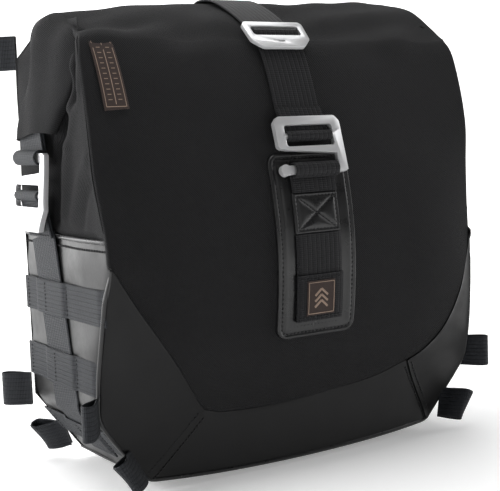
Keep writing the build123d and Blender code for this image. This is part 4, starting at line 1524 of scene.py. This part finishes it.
def build_floor():
    """A pale sheet that curves up far behind the bag, in metres."""
    section = smooth([(-6, 0), (1.2, 0), (2.2, 0.06), (3.0, 0.4), (3.5, 1.2), (3.6, 6.0)], 60)
    x = np.linspace(-6, 6, 12)
    height = section[:, 1:] - FLOOR_DROP
    grid = np.stack(np.broadcast_arrays(x[None], section[:, :1], height), axis=-1) / MM
    floor = cloth("studio_floor", grid)
    floor.data.materials.append(paper_material())


def build_lights():
    soft_light("overhead", (0.0, 0.3, 1.6), (1.8, 1.2), 22)
    soft_light("left_window", (-1.9, 0.45, 0.75), (1.2, 1.6), 29)
    soft_light("back_left_card", (-1.3, 1.9, 0.4), (1.3, 1.3), 24)
    soft_light("right_fill", (2.0, -0.7, 0.9), (1.0, 1.4), 12)
    soft_light("front_fill", (-0.2, -2.4, 0.8), (1.8, 1.2), 3.5)


def build_world():
    """A world that is white to the camera and gives the bag little light."""
    white, light_share = 1.0, 0.04
    world = bpy.data.worlds.new("studio_world")
    world.use_nodes = True
    background = world.node_tree.nodes["Background"]
    background.inputs["Color"].default_value = (1, 1, 1, 1)
    tree = Tree(world.node_tree)
    seen = tree.node("ShaderNodeLightPath").outputs["Is Camera Ray"]
    strength = tree.math("MULTIPLY_ADD", seen, white - light_share, light_share)
    tree.put(background.inputs["Strength"], strength)
    bpy.context.scene.world = world
    bpy.context.scene.view_settings.view_transform = "Standard"


# ---------------------------------------------------------------- the add-on
def colour_setting(name, description, default):
    return bpy.props.FloatVectorProperty(
        name=name, description=description, default=default, subtype="COLOR", min=0, max=1)


class SideBagLook(bpy.types.PropertyGroup):
    """Colours and sizes that a user would change."""

    canvas_colour: colour_setting("Canvas", "Colour of the canvas", (0.0075, 0.0075, 0.0083))
    leather_colour: colour_setting("Leather", "Colour of the leather", (0.006, 0.006, 0.0063))
    strap_colour: colour_setting("Front webbing", "Colour of the strap down the front", (0.006, 0.006, 0.007))
    side_webbing_colour: colour_setting("Side webbing", "Colour of the webbing on the sides",
                                        (0.0135, 0.015, 0.018))
    metal_colour: colour_setting("Metal", "Colour of the hooks and the slider", (0.78, 0.78, 0.79))
    label_colour: colour_setting("Label", "Ground colour of the woven labels", (0.045, 0.032, 0.028))
    label_thread_colour: colour_setting("Label thread", "Colour of the labels' border and pattern",
                                        (0.30, 0.22, 0.17))
    weave_pitch: bpy.props.FloatProperty(
        name="Weave pitch", description="Distance between the slanted ribs of the canvas",
        default=0.0017, min=0.0005, max=0.01, unit="LENGTH", precision=4)


class SIDEBAG_OT_materials(bpy.types.Operator):
    """Make the canvas, leather, webbing, metal and label materials"""

    bl_idname = "sidebag.materials"
    bl_label = "Materials"

    def execute(self, context):
        make_materials(context.scene.side_bag_look)
        return {"FINISHED"}


class SIDEBAG_OT_canvas(bpy.types.Operator):
    """Build the front canvas and the rolled top"""

    bl_idname = "sidebag.canvas"
    bl_label = "Front canvas and roll"

    def execute(self, context):
        build_front_canvas()
        build_roll_core()
        build_closing_strip()
        return {"FINISHED"}


class SIDEBAG_OT_tails(bpy.types.Operator):
    """Build the ends of the roll that fold down over the sides"""

    bl_idname = "sidebag.tails"
    bl_label = "Roll tails"

    def execute(self, context):
        build_tails()
        return {"FINISHED"}


class SIDEBAG_OT_gussets(bpy.types.Operator):
    """Build the canvas and leather of both sides"""

    bl_idname = "sidebag.gussets"
    bl_label = "Sides"

    def execute(self, context):
        build_gussets()
        return {"FINISHED"}


class SIDEBAG_OT_leather(bpy.types.Operator):
    """Build the leather corners, the bottom panel, the bead and the base"""

    bl_idname = "sidebag.leather"
    bl_label = "Lower leather"

    def execute(self, context):
        build_front_leather()
        build_piping()
        build_base()
        return {"FINISHED"}


class SIDEBAG_OT_back(bpy.types.Operator):
    """Build the back, its plate and the lining"""

    bl_idname = "sidebag.back"
    bl_label = "Back and lining"

    def execute(self, context):
        build_back()
        dress_plates()
        build_liner()
        return {"FINISHED"}


class SIDEBAG_OT_centre_strap(bpy.types.Operator):
    """Build the strap over the roll and down to the front hook"""

    bl_idname = "sidebag.centre_strap"
    bl_label = "Centre strap"

    def execute(self, context):
        build_centre_strap()
        build_front_loops()
        build_slider_fold()
        build_rear_stitches()
        return {"FINISHED"}


class SIDEBAG_OT_patch(bpy.types.Operator):
    """Build the stitched patch and both labels"""

    bl_idname = "sidebag.patch"
    bl_label = "Patch and labels"

    def execute(self, context):
        build_patch()
        build_emblem()
        build_woven_label()
        return {"FINISHED"}


class SIDEBAG_OT_side_webbing(bpy.types.Operator):
    """Build the straps, the webbing rows and the loops of both sides"""

    bl_idname = "sidebag.side_webbing"
    bl_label = "Side webbing"

    def execute(self, context):
        build_side_webbing()
        return {"FINISHED"}


class SIDEBAG_OT_tabs(bpy.types.Operator):
    """Build the ten folded lashing tabs"""

    bl_idname = "sidebag.tabs"
    bl_label = "Lashing tabs"

    def execute(self, context):
        build_tabs()
        return {"FINISHED"}


class SIDEBAG_OT_hardware(bpy.types.Operator):
    """Round and finish the hooks and the slider"""

    bl_idname = "sidebag.hardware"
    bl_label = "Hooks and slider"

    def execute(self, context):
        build_hardware()
        return {"FINISHED"}


class SIDEBAG_OT_studio(bpy.types.Operator):
    """Set up the pale floor, the soft lights and the camera"""

    bl_idname = "sidebag.studio"
    bl_label = "Studio"

    def execute(self, context):
        build_floor()
        build_lights()
        build_world()
        build_camera()
        return {"FINISHED"}


OPERATORS = (
    SIDEBAG_OT_materials, SIDEBAG_OT_canvas, SIDEBAG_OT_tails, SIDEBAG_OT_gussets,
    SIDEBAG_OT_leather, SIDEBAG_OT_back, SIDEBAG_OT_centre_strap, SIDEBAG_OT_patch,
    SIDEBAG_OT_side_webbing, SIDEBAG_OT_tabs, SIDEBAG_OT_hardware, SIDEBAG_OT_studio,
)


class SIDEBAG_PT_build(bpy.types.Panel):
    """Sizes, colours and build steps of the side bag"""

    bl_label = "Side bag"
    bl_idname = "SIDEBAG_PT_build"
    bl_space_type = "VIEW_3D"
    bl_region_type = "UI"
    bl_category = "Side bag"

    def draw(self, context):
        for key in SideBagLook.__annotations__:
            self.layout.prop(context.scene.side_bag_look, key)
        for operator in OPERATORS:
            self.layout.operator(operator.bl_idname)


CLASSES = (SideBagLook, *OPERATORS, SIDEBAG_PT_build)


def register():
    for item in CLASSES:
        bpy.utils.register_class(item)
    bpy.types.Scene.side_bag_look = bpy.props.PointerProperty(type=SideBagLook)


def unregister():
    del bpy.types.Scene.side_bag_look
    for item in reversed(CLASSES):
        bpy.utils.unregister_class(item)


def run(operator):
    """Calls one build step by its name, and stops if it didn't finish."""
    family, step = operator.bl_idname.split(".")
    result = getattr(getattr(bpy.ops, family), step)()
    if result != {"FINISHED"}:
        raise RuntimeError(f"{operator.bl_label} didn't finish")


def main():
    register()
    for operator in OPERATORS:
        run(operator)
    bpy.context.view_layer.update()


if __name__ == "__main__":
    main()
